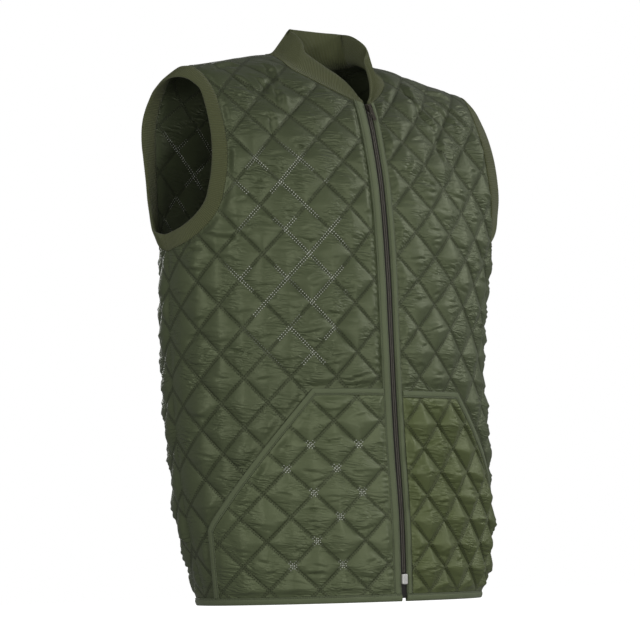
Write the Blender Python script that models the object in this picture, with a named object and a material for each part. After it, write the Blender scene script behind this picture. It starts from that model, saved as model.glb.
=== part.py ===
"""Quilted thermal vest in its worn form, hollow, with rib-knit collar and armhole bands.

The vest faces -Y and +Z is up. The origin is on the neck's centre line at shoulder-seam height.
Cloth points are found from the cut: s runs across from the centre line, t runs up from the hem.
"""
import math

import bmesh
import bpy
import numpy as np
from mathutils import Matrix, Vector
from mathutils.geometry import delaunay_2d_cdt

for old in list(bpy.data.objects):
    bpy.data.objects.remove(old, do_unlink=True)

GAP = 0.0003
WALL = 0.0015
PAD = 0.0042
SEAM_FADE = 0.013
EDGE_SPACING = 0.014
SEAM_POINTS = 30
SHOULDER_POINTS = 12

# worn body, hem to chest: half width, front depth and the slight lean of the ring
BODY = {
    "z": (-0.708, -0.610, -0.500, -0.380, -0.280),
    "half_width": (0.1974, 0.2203, 0.2267, 0.2268, 0.2371),
    "front_depth": (0.1510, 0.1531, 0.1549, 0.1625, 0.1492),
    "shift_x": (0.0057, 0.0027, -0.0046, -0.0086, -0.0005),
    "shift_y": (-0.0005, -0.0009, -0.0006, 0.0034, -0.0005),
}
BACK_SHARE = 0.797
ROUND = 0.9727

# shoulder line, from the neck out to the arm
RIDGE_Y = 0.0112
RIDGE_FORWARD = 0.1465
SLOPE = 0.2959
SLOPE_EASE = 0.2457
SOFT = 0.012
TILT = 0.0291
NECK_HALF = 0.0870
CAP_FRONT = 1.0745
CAP_BACK = 1.0
CAP_EASE = 0.25
CAP_FROM = 0.13
CAP_OVER = 0.09

# sideways wander of the closed front edge by height above the hem
SWAY = {
    "t": (0.0, 0.09, 0.19, 0.29, 0.39, 0.442, 0.494, 0.535, 0.577, 0.615, 0.65, 0.70, 0.74),
    "x": (0.0, 0.0, 0.001, -0.0003, -0.0034, -0.0061, -0.0054, -0.0029, 0.0001, 0.0045, 0.0093,
          0.0045, 0.0),
}
SWAY_REACH = 0.16

# armhole seam, armpit to shoulder: distance from the centre plane by share of its height
ARMPIT_T = 0.4470
ARMHOLE = {
    "share": (0.0, 0.0092, 0.027, 0.083, 0.175, 0.297, 0.43, 0.539, 0.681, 0.815, 0.918, 0.972, 1.0),
    "x": (0.2371, 0.2366, 0.2326, 0.2213, 0.2077, 0.1998, 0.1950, 0.1938, 0.1950, 0.1985, 0.2058,
          0.2112, 0.2145),
}
BACK_EASE = 0.008

# back armholes stand off the body, and the bands droop over the shoulder ends
FLARE = {
    "back": {
        "from": 0.110, "over": 0.140, "out": 0.043, "aside": 0.6, "ahead": -0.8,
        "level": (0.0, 0.07, 0.19, 0.30, 0.42, 0.525, 0.615, 0.70, 0.77, 0.865, 0.945, 1.0),
        "share": (0.0, 0.0, 0.23, 0.50, 0.67, 0.83, 0.97, 1.0, 0.90, 0.57, 0.17, 0.0),
    },
    "front_left": {
        "from": 0.130, "over": 0.130, "out": 0.040, "aside": 0.85, "ahead": 0.52,
        "level": (0.0, 0.07, 0.15, 0.25, 0.40, 0.55, 0.68, 0.80, 0.92, 1.0),
        "share": (0.0, 0.0, 0.10, 0.42, 0.82, 0.88, 0.66, 0.32, 0.06, 0.0),
    },
}
TIP = {"over": 0.0105, "level": 0.55, "drop": 0.010, "out": 0.008}
BAND_WIDE = 0.025
ARM_POINTS = 26
BAND_OUT = 0.0016
BAND_IN = 0.0024
BAND_PROFILE = {"share": (0.012, 0.2, 0.8, 1.0), "full": (0.5, 1.0, 1.0, 0.5)}

# neck seam, centre to shoulder
NECK_FRONT_T = 0.6485
NECK_FRONT = {
    "right": (0.0, 0.0092, 0.0221, 0.0416, 0.0629, 0.0778, 0.0812, 0.0800),
    "left": (0.0, 0.0088, 0.0205, 0.0385, 0.0560, 0.0605, 0.0590, 0.0600),
    "share": (0.0, 0.0106, 0.0722, 0.1818, 0.3344, 0.470, 0.650, 1.0),
}
NECK_POINTS = 21
NAPE_POINTS = 13
NECK_BACK = {
    "right": (0.0, 0.028, 0.054, 0.070, 0.0778, 0.0800),
    "left": (0.0, 0.023, 0.043, 0.0540, 0.0588, 0.0600),
    "drop": (0.022, 0.0213, 0.018, 0.012, 0.006, 0.0),
}
COLLAR = {
    "share": (0.0, 0.05, 0.12, 0.22, 0.36, 0.52, 0.68, 0.84, 1.0),
    "right": {
        "height": (0.0045, 0.0177, 0.0282, 0.0344, 0.0401, 0.0459, 0.0501, 0.0499, 0.0494),
        "lean_deg": (23.7, 20.6, 23.2, 30.1, 34.2, 36.5, 36.4, 26.1, 15.5),
    },
    "left": {
        "height": (0.0045, 0.0178, 0.0328, 0.0457, 0.0486, 0.0485, 0.0485, 0.0502, 0.0494),
        "lean_deg": (-6.0, 0.4, 13.3, 22.7, 14.7, 12.2, 16.2, 16.9, 15.5),
    },
}
COLLAR_THICK = 0.0032
COLLAR_TURN = 0.42
COLLAR_STEPS = 50
COLLAR_STEADY = 0.018
COLLAR_ROWS = {0: 0.5, 10: 0.5, 21: 0.5, 45: 0.5, 50: 0.22}
COLLAR_TO_AXIS = 0.4
NECK_AXIS_Y = -0.028

# quilting: diagonals of a diamond, and where one crossing lies
QUILT = {
    "front_right": {"across": 0.0585, "up": 0.0617, "s": -0.0212, "t": 0.2810},
    "front_left": {"across": 0.0585, "up": 0.0617, "s": 0.0447, "t": 0.2823},
    "back": {"across": 0.0585, "up": 0.0617, "s": 0.0, "t": 0.2810},
    "pocket_right": {"across": 0.0624, "up": 0.0595, "s": -0.0543, "t": 0.0181},
    "pocket_left": {"across": 0.0539, "up": 0.0603, "s": 0.0412, "t": 0.0115},
}

# closed front edge, measured out from the centre line
ZIP_HALF = 0.0042
STRIP_WIDE = {"right": 0.0115, "left": 0.0085}
STRIP_OUT = 0.0030
STRIP_POINTS = 40
STRIP_SHORT = 0.0010
ZIP_FOOT_T = 0.0040
ZIP_OUT = 0.0008
ZIP_IN = 0.0009
TAPE_PROFILE = {"share": (0.0, 0.22, 0.78, 1.0), "full": (0.72, 1.0, 1.0, 0.72)}
HEM_TAPE = 0.0095
HEM_OUT = 0.0032
HEM_OUT_BACK = 0.0024
HEM_IN = 0.0028
HEM_POINTS = 20

# patch pocket: top edge, corner of the slant, foot of the slant and outer edge
POCKET_TOP = {"right": 0.2662, "left": 0.2635}
POCKET_CORNER_S = {"right": 0.1120, "left": 0.1145}
POCKET_FOOT_S = 0.2500
POCKET_FOOT_T = 0.1045
POCKET_SIDE_S = 0.2565
POCKET_TURN = 0.010
POCKET_CALM = 0.0015
POCKET_CREASE = 0.001
POCKET_LIFT = 0.0008
POCKET_TAPE = 0.0080
TAPE_OUT = 0.0036

# zip furniture
SLIDER_T = 0.6400
SLIDER = {"wide": 0.0076, "long": 0.0105, "thick": 0.0026, "foot": 0.72, "head": 0.86, "waist": 0.2}
ZIP_LIFT = 0.0013
PIVOT_SHARE = 0.35
EAR = {"wide": 0.0011, "long": 0.0032, "high": 0.0024, "apart": 0.0046, "sunk": 0.0008}
PULL = {"wide": 0.0052, "long": 0.0240, "thick": 0.0011, "neck": 0.0036, "neck_end": 0.0032,
        "shoulder": 0.0055, "corner": 0.0015}
PIVOT_HIGH = 0.55
BARREL = 0.8
BOX = {"wide": 0.0076, "long": 0.0125, "thick": 0.0030}
BOX_T = 0.0277
BOX_BEVEL = 0.0007

STEP = 0.0015
STEP_LEAST = 0.00002
TURN = np.linspace(0.0, math.pi / 2, 121)
RISE = np.linspace(0.0, math.pi / 2, 181)[:, None]
HEM_Z = BODY["z"][0]
CHEST_Z = BODY["z"][-1]
CHEST_T = CHEST_Z - HEM_Z


def through(x, xs, ys):
    """Smooth curve through the rows of a table."""
    xs = np.asarray(xs, float)
    ys = np.asarray(ys, float)
    slope = np.gradient(ys, xs)
    x = np.clip(x, xs[0], xs[-1])
    i = np.clip(np.searchsorted(xs, x) - 1, 0, len(xs) - 2)
    run = xs[i + 1] - xs[i]
    u = (x - xs[i]) / run
    start = (1 + 2 * u) * (1 - u) ** 2 * ys[i] + u * (1 - u) ** 2 * run * slope[i]
    end = u * u * (3 - 2 * u) * ys[i + 1] + u * u * (u - 1) * run * slope[i + 1]
    return start + end


def ease(u):
    """Smooth step from 0 to 1."""
    u = np.clip(u, 0.0, 1.0)
    return u * u * (3 - 2 * u)


def arc(width, depth):
    """Running length round a quarter ring, from the centre line to the side."""
    x = width * np.sin(TURN) ** ROUND
    y = depth * np.cos(TURN) ** ROUND
    return np.concatenate([[0.0], np.cumsum(np.hypot(np.diff(x), np.diff(y)))])


def depths(back):
    return np.asarray(BODY["front_depth"]) * (BACK_SHARE if back else 1.0)


def quarter(back):
    """Length of the quarter ring at each row of the body table."""
    return [arc(w, d)[-1] for w, d in zip(BODY["half_width"], depths(back))]


QUARTER = {False: quarter(False), True: quarter(True)}
MEAN_ARC = {b: arc(np.mean(BODY["half_width"]), np.mean(depths(b))) for b in (False, True)}


def side_s(t, back):
    """Distance across from the centre line to the side seam."""
    return through(HEM_Z + np.minimum(t, CHEST_T), BODY["z"], QUARTER[back])


def ring(s, z, back):
    """Point of the body ring at height z."""
    share = np.clip(np.abs(s) / through(z, BODY["z"], QUARTER[back]), 0.0, 1.0)
    turn = np.interp(share, MEAN_ARC[back] / MEAN_ARC[back][-1], TURN)
    width = through(z, BODY["z"], BODY["half_width"])
    depth = through(z, BODY["z"], depths(back))
    x = through(z, BODY["z"], BODY["shift_x"]) + np.sign(s) * width * np.sin(turn) ** ROUND
    y = through(z, BODY["z"], BODY["shift_y"]) + (1 if back else -1) * depth * np.cos(turn) ** ROUND
    return x, y


def ridge(x):
    """Shoulder line above x: its depth and height."""
    out = np.abs(x - BODY["shift_x"][-1]) - NECK_HALF
    past = np.clip(out, 0.0, None)
    soft = 0.5 * (out + np.sqrt(out * out + 4 * SOFT * SOFT)) - SOFT
    y = RIDGE_Y - RIDGE_FORWARD * past
    z = -SLOPE * soft + SLOPE_EASE * past ** 2 - TILT * x
    return y, z


def rise_table(s, back):
    """Running length up each column from chest to shoulder line, with its ends."""
    x, y = ring(s, np.full(s.shape, CHEST_Z), back)
    top_y, top_z = ridge(x)
    bend = (CAP_BACK if back else CAP_FRONT) - CAP_EASE * ease((np.abs(x) - CAP_FROM) / CAP_OVER)
    across = np.cos(RISE) ** bend
    up = np.sin(RISE) ** bend
    step = np.hypot(np.diff(across, axis=0) * (y - top_y), np.diff(up, axis=0) * (top_z - CHEST_Z))
    run = np.concatenate([np.zeros((1, s.size)), np.cumsum(step, axis=0)])
    return run, across, up, y, top_y, top_z


def top_t(s, back):
    """Cloth height of the shoulder line above the column s."""
    s = np.atleast_1d(np.asarray(s, float))
    return CHEST_T + rise_table(s, back)[0][-1]


def cloth(s, t, back=False):
    """Point of the worn cloth for a point of the cut."""
    s, t = np.broadcast_arrays(np.asarray(s, float), np.asarray(t, float))
    shape = s.shape
    s = s.ravel()
    t = t.ravel()
    x, y = ring(s, HEM_Z + np.minimum(t, CHEST_T), back)
    z = HEM_Z + np.minimum(t, CHEST_T)
    run, across, up, chest_y, top_y, top_z = rise_table(s, back)
    climb = np.minimum(np.clip(t - CHEST_T, 0.0, None), run[-1])
    i = np.clip((run < climb).sum(axis=0), 1, len(RISE) - 1)
    col = np.arange(s.size)
    u = (climb - run[i - 1, col]) / np.maximum(run[i, col] - run[i - 1, col], 1e-9)
    a = across[i - 1, col] * (1 - u) + across[i, col] * u
    b = up[i - 1, col] * (1 - u) + up[i, col] * u
    high = t > CHEST_T
    y = np.where(high, top_y + (chest_y - top_y) * a, y)
    z = np.where(high, CHEST_Z + (top_z - CHEST_Z) * b, z)
    level = climb / run[-1]
    past = np.clip((np.abs(x - BODY["shift_x"][-1]) - ARMHOLE["x"][-1]) / TIP["over"], 0.0, 1.2)
    droop = past ** 2 * ease((level - TIP["level"]) / (1 - TIP["level"]))
    x = x + np.sign(s) * TIP["out"] * droop
    z = z - TIP["drop"] * droop
    for key, here in (("back", back), ("front_left", (s > 0.0) & (not back))):
        flare = FLARE[key]
        reach = np.clip((np.abs(s) - flare["from"]) / flare["over"], 0.0, 1.2) ** 2
        stand = flare["out"] * reach * through(level, flare["level"], flare["share"]) * here
        x = x + np.sign(s) * flare["aside"] * stand
        y = y - flare["ahead"] * stand
    if not back:
        x = x + through(t, SWAY["t"], SWAY["x"]) * np.clip(1 - np.abs(s) / SWAY_REACH, 0, 1) ** 2
    return np.stack([x, y, z], axis=-1).reshape(shape + (3,))


def outward(s, t, back=False):
    """Unit normal of the worn cloth, pointing away from the hollow."""
    climb = np.clip(top_t(s, back) - t, STEP_LEAST, STEP)
    across = cloth(s + STEP, t, back) - cloth(s - STEP, t, back)
    up = cloth(s, t + climb, back) - cloth(s, t - climb, back)
    n = np.cross(across, up) * (-1.0 if back else 1.0)
    return n / np.linalg.norm(n, axis=-1, keepdims=True)


def moved(points, lift, back=False):
    """Cut points taken to the worn cloth and moved out by lift."""
    s = points[..., 0]
    t = points[..., 1]
    return cloth(s, t, back) + outward(s, t, back) * np.asarray(lift)[..., None]


def column(x, back):
    """Distance across whose chest ring lies at distance x from the centre plane."""
    s = np.linspace(0.0, QUARTER[back][-1], 300)
    reach = ring(s, np.full(300, CHEST_Z), back)[0] - BODY["shift_x"][-1]
    return np.interp(x, reach, s)


def resample(path, spacing):
    """Path with its corners kept and points about spacing apart."""
    path = np.asarray(path, float)
    out = [path[:1]]
    for a, b in zip(path[:-1], path[1:]):
        count = max(1, round(float(np.hypot(*(b - a))) / spacing))
        out.append(a + (b - a) * (np.arange(1, count + 1) / count)[:, None])
    return np.concatenate(out)


def even(path, count):
    """Path cut into points at even distances."""
    run = np.concatenate([[0.0], np.cumsum(np.hypot(*np.diff(path, axis=0).T))])
    at = np.linspace(0.0, run[-1], count)
    return np.stack([np.interp(at, run, path[:, 0]), np.interp(at, run, path[:, 1])], axis=1)


def armhole(side, back, count):
    """Armhole seam in the cut, armpit to shoulder."""
    share = np.linspace(0.0, 1.0, 200) ** 1.7
    x = through(share, ARMHOLE["share"], ARMHOLE["x"])
    x = x + (BACK_EASE * np.sin(math.pi * share) ** 2 if back else 0.0)
    s = column(x, back)
    tip = float(top_t(side * s[-1:], back)[0])
    t = ARMPIT_T + share * (tip - ARMPIT_T)
    s[0] = side_s(ARMPIT_T, back)
    path = even(np.stack([s, t], axis=1), count)
    return path * np.array([side, 1.0])


def neck(side, back, count):
    """Neck seam in the cut, centre line to shoulder."""
    table = NECK_BACK if back else NECK_FRONT
    reach = table["right" if side < 0 else "left"]
    u = np.linspace(0.0, 1.0, 200)
    row = np.linspace(0.0, 1.0, len(reach))
    s = column(through(u, row, reach), back)
    top = top_t(side * s, back)
    if back:
        t = top - through(u, row, table["drop"])
    else:
        t = NECK_FRONT_T + through(u, row, table["share"]) * (top[-1] - NECK_FRONT_T)
    path = even(np.stack([s, t], axis=1), count)
    return path * np.array([side, 1.0])


def inside(points, loop):
    """Which points lie within a closed loop."""
    x = points[:, 0][:, None]
    y = points[:, 1][:, None]
    a = loop
    b = np.roll(loop, -1, axis=0)
    crosses = (a[:, 1] > y) != (b[:, 1] > y)
    rise = np.where(b[:, 1] == a[:, 1], 1e-12, b[:, 1] - a[:, 1])
    hit = x < (b[:, 0] - a[:, 0]) * (y - a[:, 1]) / rise + a[:, 0]
    return (crosses & hit).sum(axis=1) % 2 == 1


def clearance(points, loop):
    """Distance from points to the nearest edge of a closed loop."""
    a = loop
    ab = np.roll(loop, -1, axis=0) - a
    v = points[:, None] - a
    u = np.clip((v * ab).sum(-1) / np.maximum((ab * ab).sum(-1), 1e-12), 0.0, 1.0)
    return np.linalg.norm(v - ab * u[..., None], axis=-1).min(axis=1)


def pad_height(points, quilt):
    """Share of the full pad height inside the stitched diamonds."""
    across = (points[..., 0] - quilt["s"]) / quilt["across"]
    up = (points[..., 1] - quilt["t"]) / quilt["up"]
    both = np.sin(math.pi * (across + up)) * np.sin(math.pi * (across - up))
    return np.abs(both) ** 0.7


def mesh_of(loop, quilt, parts, crease=None):
    """Triangles of a cut piece; each diamond is split into parts along its diagonals."""
    ds = quilt["across"] / parts
    dt = quilt["up"] / parts
    low = np.floor((loop.min(axis=0) - (quilt["s"], quilt["t"])) / (ds, dt)).astype(int)
    high = np.ceil((loop.max(axis=0) - (quilt["s"], quilt["t"])) / (ds, dt)).astype(int)
    k, m = np.meshgrid(np.arange(low[0], high[0] + 1), np.arange(low[1], high[1] + 1), indexing="ij")
    cells = np.stack([k.ravel(), m.ravel()], axis=1)
    points = np.array([quilt["s"], quilt["t"]]) + cells * (ds, dt)
    keep = inside(points, loop) & (clearance(points, loop) > 0.42 * ds)
    if crease is not None:
        keep &= clearance(points, np.concatenate([crease, crease[-2:0:-1]])) > 0.42 * ds
    cells = cells[keep]
    points = points[keep]
    place = {tuple(c): len(loop) + i for i, c in enumerate(cells.tolist())}
    lines = []
    for (a, b), i in place.items():
        for turn in (1, -1):
            far = place.get((a + 1, b + turn))
            if far is not None and (a - turn * b) % parts == 0:
                lines.append((i, far))
    flat = np.concatenate([loop, points])
    if crease is not None:
        lines += [(len(flat) + i, len(flat) + i + 1) for i in range(len(crease) - 1)]
        flat = np.concatenate([flat, crease])
    ring_faces = [list(range(len(loop)))]
    out = delaunay_2d_cdt([Vector(p) for p in flat.tolist()], lines, ring_faces, 1, 1e-7)
    spots = np.array([tuple(v) for v in out[0]])
    home = {}
    for new, olds in enumerate(out[3]):
        for o in olds:
            home[o] = new
    return spots, [tuple(f) for f in out[2]], [home[i] for i in range(len(loop))]


def solid(name, verts, faces, material):
    """Closed mesh object with outward faces."""
    mesh = bpy.data.meshes.new(name)
    mesh.from_pydata([tuple(v) for v in np.asarray(verts).tolist()], [], faces)
    work = bmesh.new()
    work.from_mesh(mesh)
    bmesh.ops.recalc_face_normals(work, faces=work.faces[:])
    bmesh.ops.triangulate(work, faces=work.faces[:])
    work.to_mesh(mesh)
    work.free()
    mesh.materials.append(material)
    obj = bpy.data.objects.new(name, mesh)
    bpy.context.scene.collection.objects.link(obj)
    return obj


def material(name, colour, roughness, metallic=0.0):
    mat = bpy.data.materials.new(name)
    mat.use_nodes = True
    shader = mat.node_tree.nodes["Principled BSDF"]
    shader.inputs["Base Color"].default_value = (*colour, 1.0)
    shader.inputs["Roughness"].default_value = roughness
    shader.inputs["Metallic"].default_value = metallic
    return mat


def quilted(name, loop, quilt, back, inner, outer, mat, calm=None, crease=None):
    """Padded wall: pads raised in the outer points over a plain inside."""
    top, top_faces, top_ring = mesh_of(loop, quilt, 4, crease)
    low, low_faces, low_ring = mesh_of(loop, quilt, 4 if inner > 0 else 2)
    rise = PAD * pad_height(top, quilt) * ease(clearance(top, loop) / SEAM_FADE)
    if calm is not None:
        rise = rise * np.where(inside(top, calm), 0.0, ease(clearance(top, calm) / SEAM_FADE))
    outside = moved(top, outer + rise, back)
    within = moved(low, np.full(len(low), inner), back)
    shift = len(outside)
    faces = list(top_faces) + [tuple(i + shift for i in f) for f in low_faces]
    count = len(loop)
    for i in range(count):
        j = (i + 1) % count
        faces.append((top_ring[i], top_ring[j], low_ring[j] + shift, low_ring[i] + shift))
    return solid(name, np.concatenate([outside, within]), faces, mat)


def swept(name, rings, closed, mat):
    """Solid through a row of cross-sections."""
    rings = np.asarray(rings)
    count, size = rings.shape[:2]
    faces = []
    for i in range(count if closed else count - 1):
        j = (i + 1) % count
        for a in range(size):
            b = (a + 1) % size
            faces.append((i * size + a, i * size + b, j * size + b, j * size + a))
    if not closed:
        faces.append(tuple(range(size)))
        faces.append(tuple((count - 1) * size + a for a in range(size)))
    return solid(name, rings.reshape(-1, 3), faces, mat)


def tape_rings(edge, far, inner, outer, back=False):
    """Cross-sections of a folded strip lying between two lines of the cut."""
    rows = []
    for share, full in zip(TAPE_PROFILE["share"], TAPE_PROFILE["full"]):
        spot = edge + (far - edge) * share
        rows.append(moved(spot, np.full(len(spot), inner + (outer - inner) * full), back))
    for share in (1.0, 0.0):
        spot = edge + (far - edge) * share
        rows.append(moved(spot, np.full(len(spot), inner), back))
    return np.stack(rows, axis=1)


def aside(path, width):
    """Path moved sideways to its left by width, with mitred corners."""
    ahead = np.diff(path, axis=0)
    ahead = ahead / np.linalg.norm(ahead, axis=1, keepdims=True)
    left = np.stack([-ahead[:, 1], ahead[:, 0]], axis=1)
    first = np.concatenate([left[:1], left])
    second = np.concatenate([left, left[-1:]])
    mitre = first + second
    mitre = mitre / (1 + (first * second).sum(axis=1, keepdims=True))
    return path + mitre * width


taffeta = material("quilted_taffeta", (0.085, 0.098, 0.062), 0.5)
pocket_cloth = material("pocket_taffeta", (0.088, 0.108, 0.058), 0.5)
rib = material("rib_knit", (0.074, 0.083, 0.042), 0.85)
tape_cloth = material("edge_tape", (0.075, 0.089, 0.056), 0.7)
zip_cloth = material("zip_tape", (0.045, 0.042, 0.036), 0.6)
slider_metal = material("zip_slider_metal", (0.03, 0.03, 0.028), 0.4, 0.8)
box_metal = material("zip_box_metal", (0.72, 0.72, 0.70), 0.3, 1.0)

SIDES = {"right": -1.0, "left": 1.0}
panel_low = HEM_TAPE + GAP


def shoulder_line(side, back):
    """Shoulder seam in the cut, arm to neck, held off the shoulder line by half a gap."""
    neck_end = NECK_FRONT["right" if side < 0 else "left"][-1]
    s = side * column(np.linspace(ARMHOLE["x"][-1], neck_end, SHOULDER_POINTS)[1:-1], back)
    return np.stack([s, top_t(s, back) - GAP / 2], axis=1)


def sunk(path):
    """Path whose shoulder end is held off the shoulder line by half a gap."""
    path = path.copy()
    path[-1, 1] -= GAP / 2
    return path


# front panels: front edge, hem, side seam, armhole, shoulder and neck
pocket_edge = {}
for word, side in SIDES.items():
    strip = ZIP_HALF + GAP + STRIP_WIDE[word]
    edge = strip + GAP
    top = POCKET_TOP[word]
    path = [(edge, top), (POCKET_CORNER_S[word], top), (POCKET_FOOT_S, POCKET_FOOT_T),
            (POCKET_SIDE_S, POCKET_FOOT_T - POCKET_TURN), (POCKET_SIDE_S, panel_low)]
    pocket_edge[word] = np.array(path)
    calm = aside(np.array(path), POCKET_CALM)
    calm = np.concatenate([calm, [(0.0, 0.0), (0.0, top)]]) * (side, 1.0)
    hole = sunk(armhole(side, False, ARM_POINTS))
    throat = sunk(neck(side, False, NECK_POINTS))
    start = np.interp(edge, throat[:, 0] * side, np.arange(len(throat)))
    throat = np.concatenate([[[side * edge, np.interp(start, np.arange(NECK_POINTS), throat[:, 1])]],
                             throat[int(start) + 1:]])
    hem_s = float(side_s(panel_low, False))
    rise = np.linspace(panel_low, ARMPIT_T, SEAM_POINTS)
    seam = np.stack([side * (side_s(rise, False) - GAP / 2), rise], axis=1)
    hole[0] = seam[-1]
    hem = resample([(side * edge, panel_low), (side * hem_s - side * GAP / 2, panel_low)], EDGE_SPACING)
    shoulder = shoulder_line(side, False)
    front = resample([throat[0], (side * edge, panel_low)], EDGE_SPACING)
    loop = np.concatenate([hem, seam[1:], hole[1:], shoulder, throat[::-1], front[1:-1]])
    name = "front_" + word
    crease = aside(resample(path, EDGE_SPACING), POCKET_CREASE)[1:-1] * (side, 1.0)
    quilted(name, loop, QUILT[name], False, -WALL, 0.0, taffeta, calm, crease)

# back panel: the same lines on both sides and a shallow neck
rise = np.linspace(panel_low, ARMPIT_T, SEAM_POINTS)
half = {}
for word, side in SIDES.items():
    seam = np.stack([side * (side_s(rise, True) - GAP / 2), rise], axis=1)
    hole = sunk(armhole(side, True, ARM_POINTS))
    hole[0] = seam[-1]
    throat = sunk(neck(side, True, NAPE_POINTS))
    shoulder = shoulder_line(side, True)
    half[word] = np.concatenate([seam, hole[1:], shoulder, throat[::-1]])
hem = resample([half["right"][0], half["left"][0]], EDGE_SPACING)
loop = np.concatenate([hem, half["left"][1:], half["right"][::-1][1:-1]])
quilted("back", loop, QUILT["back"], True, -WALL, 0.0, taffeta)

# patch pockets and the folded tape along their open edges
for word, side in SIDES.items():
    flip = np.array([side, 1.0])
    outer_edge = resample(pocket_edge[word], EDGE_SPACING)
    inner_edge = aside(outer_edge, -POCKET_TAPE)
    inner_edge[0, 0] = outer_edge[0, 0]
    inner_edge[-1, 1] = outer_edge[-1, 1]
    field = aside(outer_edge, -POCKET_TAPE - GAP)
    field[0, 0] = outer_edge[0, 0]
    field[-1, 1] = outer_edge[-1, 1]
    hem = resample([field[-1], (field[0, 0], panel_low)], EDGE_SPACING)
    front = resample([(field[0, 0], panel_low), field[0]], EDGE_SPACING)
    loop = np.concatenate([field, hem[1:], front[1:-1]]) * flip
    name = "pocket_" + word
    quilted(name, loop, QUILT[name], False, POCKET_LIFT, POCKET_LIFT + WALL, pocket_cloth)
    rings = tape_rings(outer_edge * flip, inner_edge * flip, POCKET_LIFT, TAPE_OUT)
    swept("pocket_tape_" + word, rings, False, tape_cloth)


def upright(s, foot, top):
    """Line up the cut at s, from foot to top."""
    share = np.linspace(0.0, 1.0, STRIP_POINTS)[:, None]
    return np.array([s, foot]) + np.array([0.0, top - foot]) * share


# plain folded strips beside the zip, and the zip's two cloth halves
for word, side in SIDES.items():
    near = ZIP_HALF + GAP
    far = near + STRIP_WIDE[word]
    throat = neck(side, False, NECK_POINTS)
    tops = [np.interp(s, throat[:, 0] * side, throat[:, 1]) for s in (GAP / 2, ZIP_HALF, near, far)]
    tops = np.array(tops) - STRIP_SHORT
    inner_line = upright(side * near, panel_low, tops[2])
    outer_line = upright(side * far, panel_low, tops[3])
    swept("front_strip_" + word, tape_rings(inner_line, outer_line, -WALL, STRIP_OUT), False, tape_cloth)
    inner_line = upright(side * GAP / 2, ZIP_FOOT_T, tops[0])
    outer_line = upright(side * ZIP_HALF, ZIP_FOOT_T, tops[1])
    swept("zip_tape_" + word, tape_rings(inner_line, outer_line, -ZIP_IN, ZIP_OUT), False, zip_cloth)

# hem binding folded over the lower edge
for word, side in SIDES.items():
    s = np.linspace(ZIP_HALF + GAP, float(side_s(0.0, False)) - GAP / 2, HEM_POINTS)
    stretch = (side_s(HEM_TAPE, False) - GAP / 2) / s[-1]
    foot = np.stack([side * s, np.zeros(HEM_POINTS)], axis=1)
    head = np.stack([side * (s[0] + (s - s[0]) * stretch), np.full(HEM_POINTS, HEM_TAPE)], axis=1)
    swept("hem_binding_front_" + word, tape_rings(foot, head, -HEM_IN, HEM_OUT), False, tape_cloth)
s = np.linspace(-1.0, 1.0, 2 * HEM_POINTS)
foot = np.stack([s * (side_s(0.0, True) - GAP / 2), np.zeros(2 * HEM_POINTS)], axis=1)
head = np.stack([s * (side_s(HEM_TAPE, True) - GAP / 2), np.full(2 * HEM_POINTS, HEM_TAPE)], axis=1)
swept("hem_binding_back", tape_rings(foot, head, -HEM_IN, HEM_OUT_BACK, True), False, tape_cloth)

# rib bands: the cloth's own surface carried on from the armhole seam to the open edge
for word, side in SIDES.items():
    rings = []
    for back in (False, True):
        path = armhole(side, back, ARM_POINTS)
        away = np.gradient(path, axis=0)
        away = away / np.linalg.norm(away, axis=1, keepdims=True)
        away = np.stack([away[:, 1], -away[:, 0]], axis=1) * side
        away[0] = (0.0, 1.0)
        away[-1] = (side, 0.0)
        lines = [path + away * BAND_WIDE * share for share in BAND_PROFILE["share"]]
        for line in lines:
            line[-1, 1] = top_t(line[-1:, 0], back)[0]
        rows = []
        for line, full in zip(lines, BAND_PROFILE["full"]):
            rows.append(moved(line, np.full(ARM_POINTS, BAND_OUT * full), back))
        rows += [moved(line, np.full(ARM_POINTS, -BAND_IN), back) for line in (lines[-1], lines[0])]
        rings.append(np.stack(rows, axis=1))
    front_half, back_half = rings
    join_top = 0.5 * (front_half[-1:] + back_half[-1:])
    join_low = 0.5 * (front_half[:1] + back_half[:1])
    loop = np.concatenate([join_low, front_half[1:-1], join_top, back_half[1:-1][::-1]])
    swept("armhole_band_" + word, loop, True, rib)


def neck_run(side):
    """One half of the neck seam, front end to centre back: points, way on, normal and share."""
    front_path = neck(side, False, NECK_POINTS)
    begin = ZIP_HALF + GAP
    first = int(np.searchsorted(front_path[:, 0] * side, begin))
    lead = [[side * begin, np.interp(begin, front_path[:, 0] * side, front_path[:, 1])]]
    front_path = np.concatenate([lead, front_path[first:]])
    back_path = neck(side, True, NAPE_POINTS)[::-1]
    parts = []
    for path, back, turn in ((front_path, False, 1.0), (back_path, True, -1.0)):
        ahead = np.gradient(path, axis=0)
        ahead = ahead / np.linalg.norm(ahead, axis=1, keepdims=True)
        off = np.stack([-ahead[:, 1], ahead[:, 0]], axis=1) * side * turn
        spot = cloth(path[:, 0], path[:, 1], back)
        near = spot - cloth(path[:, 0] - off[:, 0] * 0.002, path[:, 1] - off[:, 1] * 0.002, back)
        near = near / np.linalg.norm(near, axis=1, keepdims=True)
        parts.append((spot, near, outward(path[:, 0], path[:, 1], back)))
    spot, on, face = [np.concatenate([a, b[1:]]) for a, b in zip(*parts)]
    run = np.concatenate([[0.0], np.cumsum(np.linalg.norm(np.diff(spot, axis=0), axis=1))])
    return spot, on, face, run


def steady(ways, run, reach):
    """Directions along a run, each averaged with those within reach of it."""
    weight = np.exp(-((run[:, None] - run[None]) / reach) ** 2)
    mean = weight @ ways
    return mean / np.linalg.norm(mean, axis=1, keepdims=True)


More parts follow.
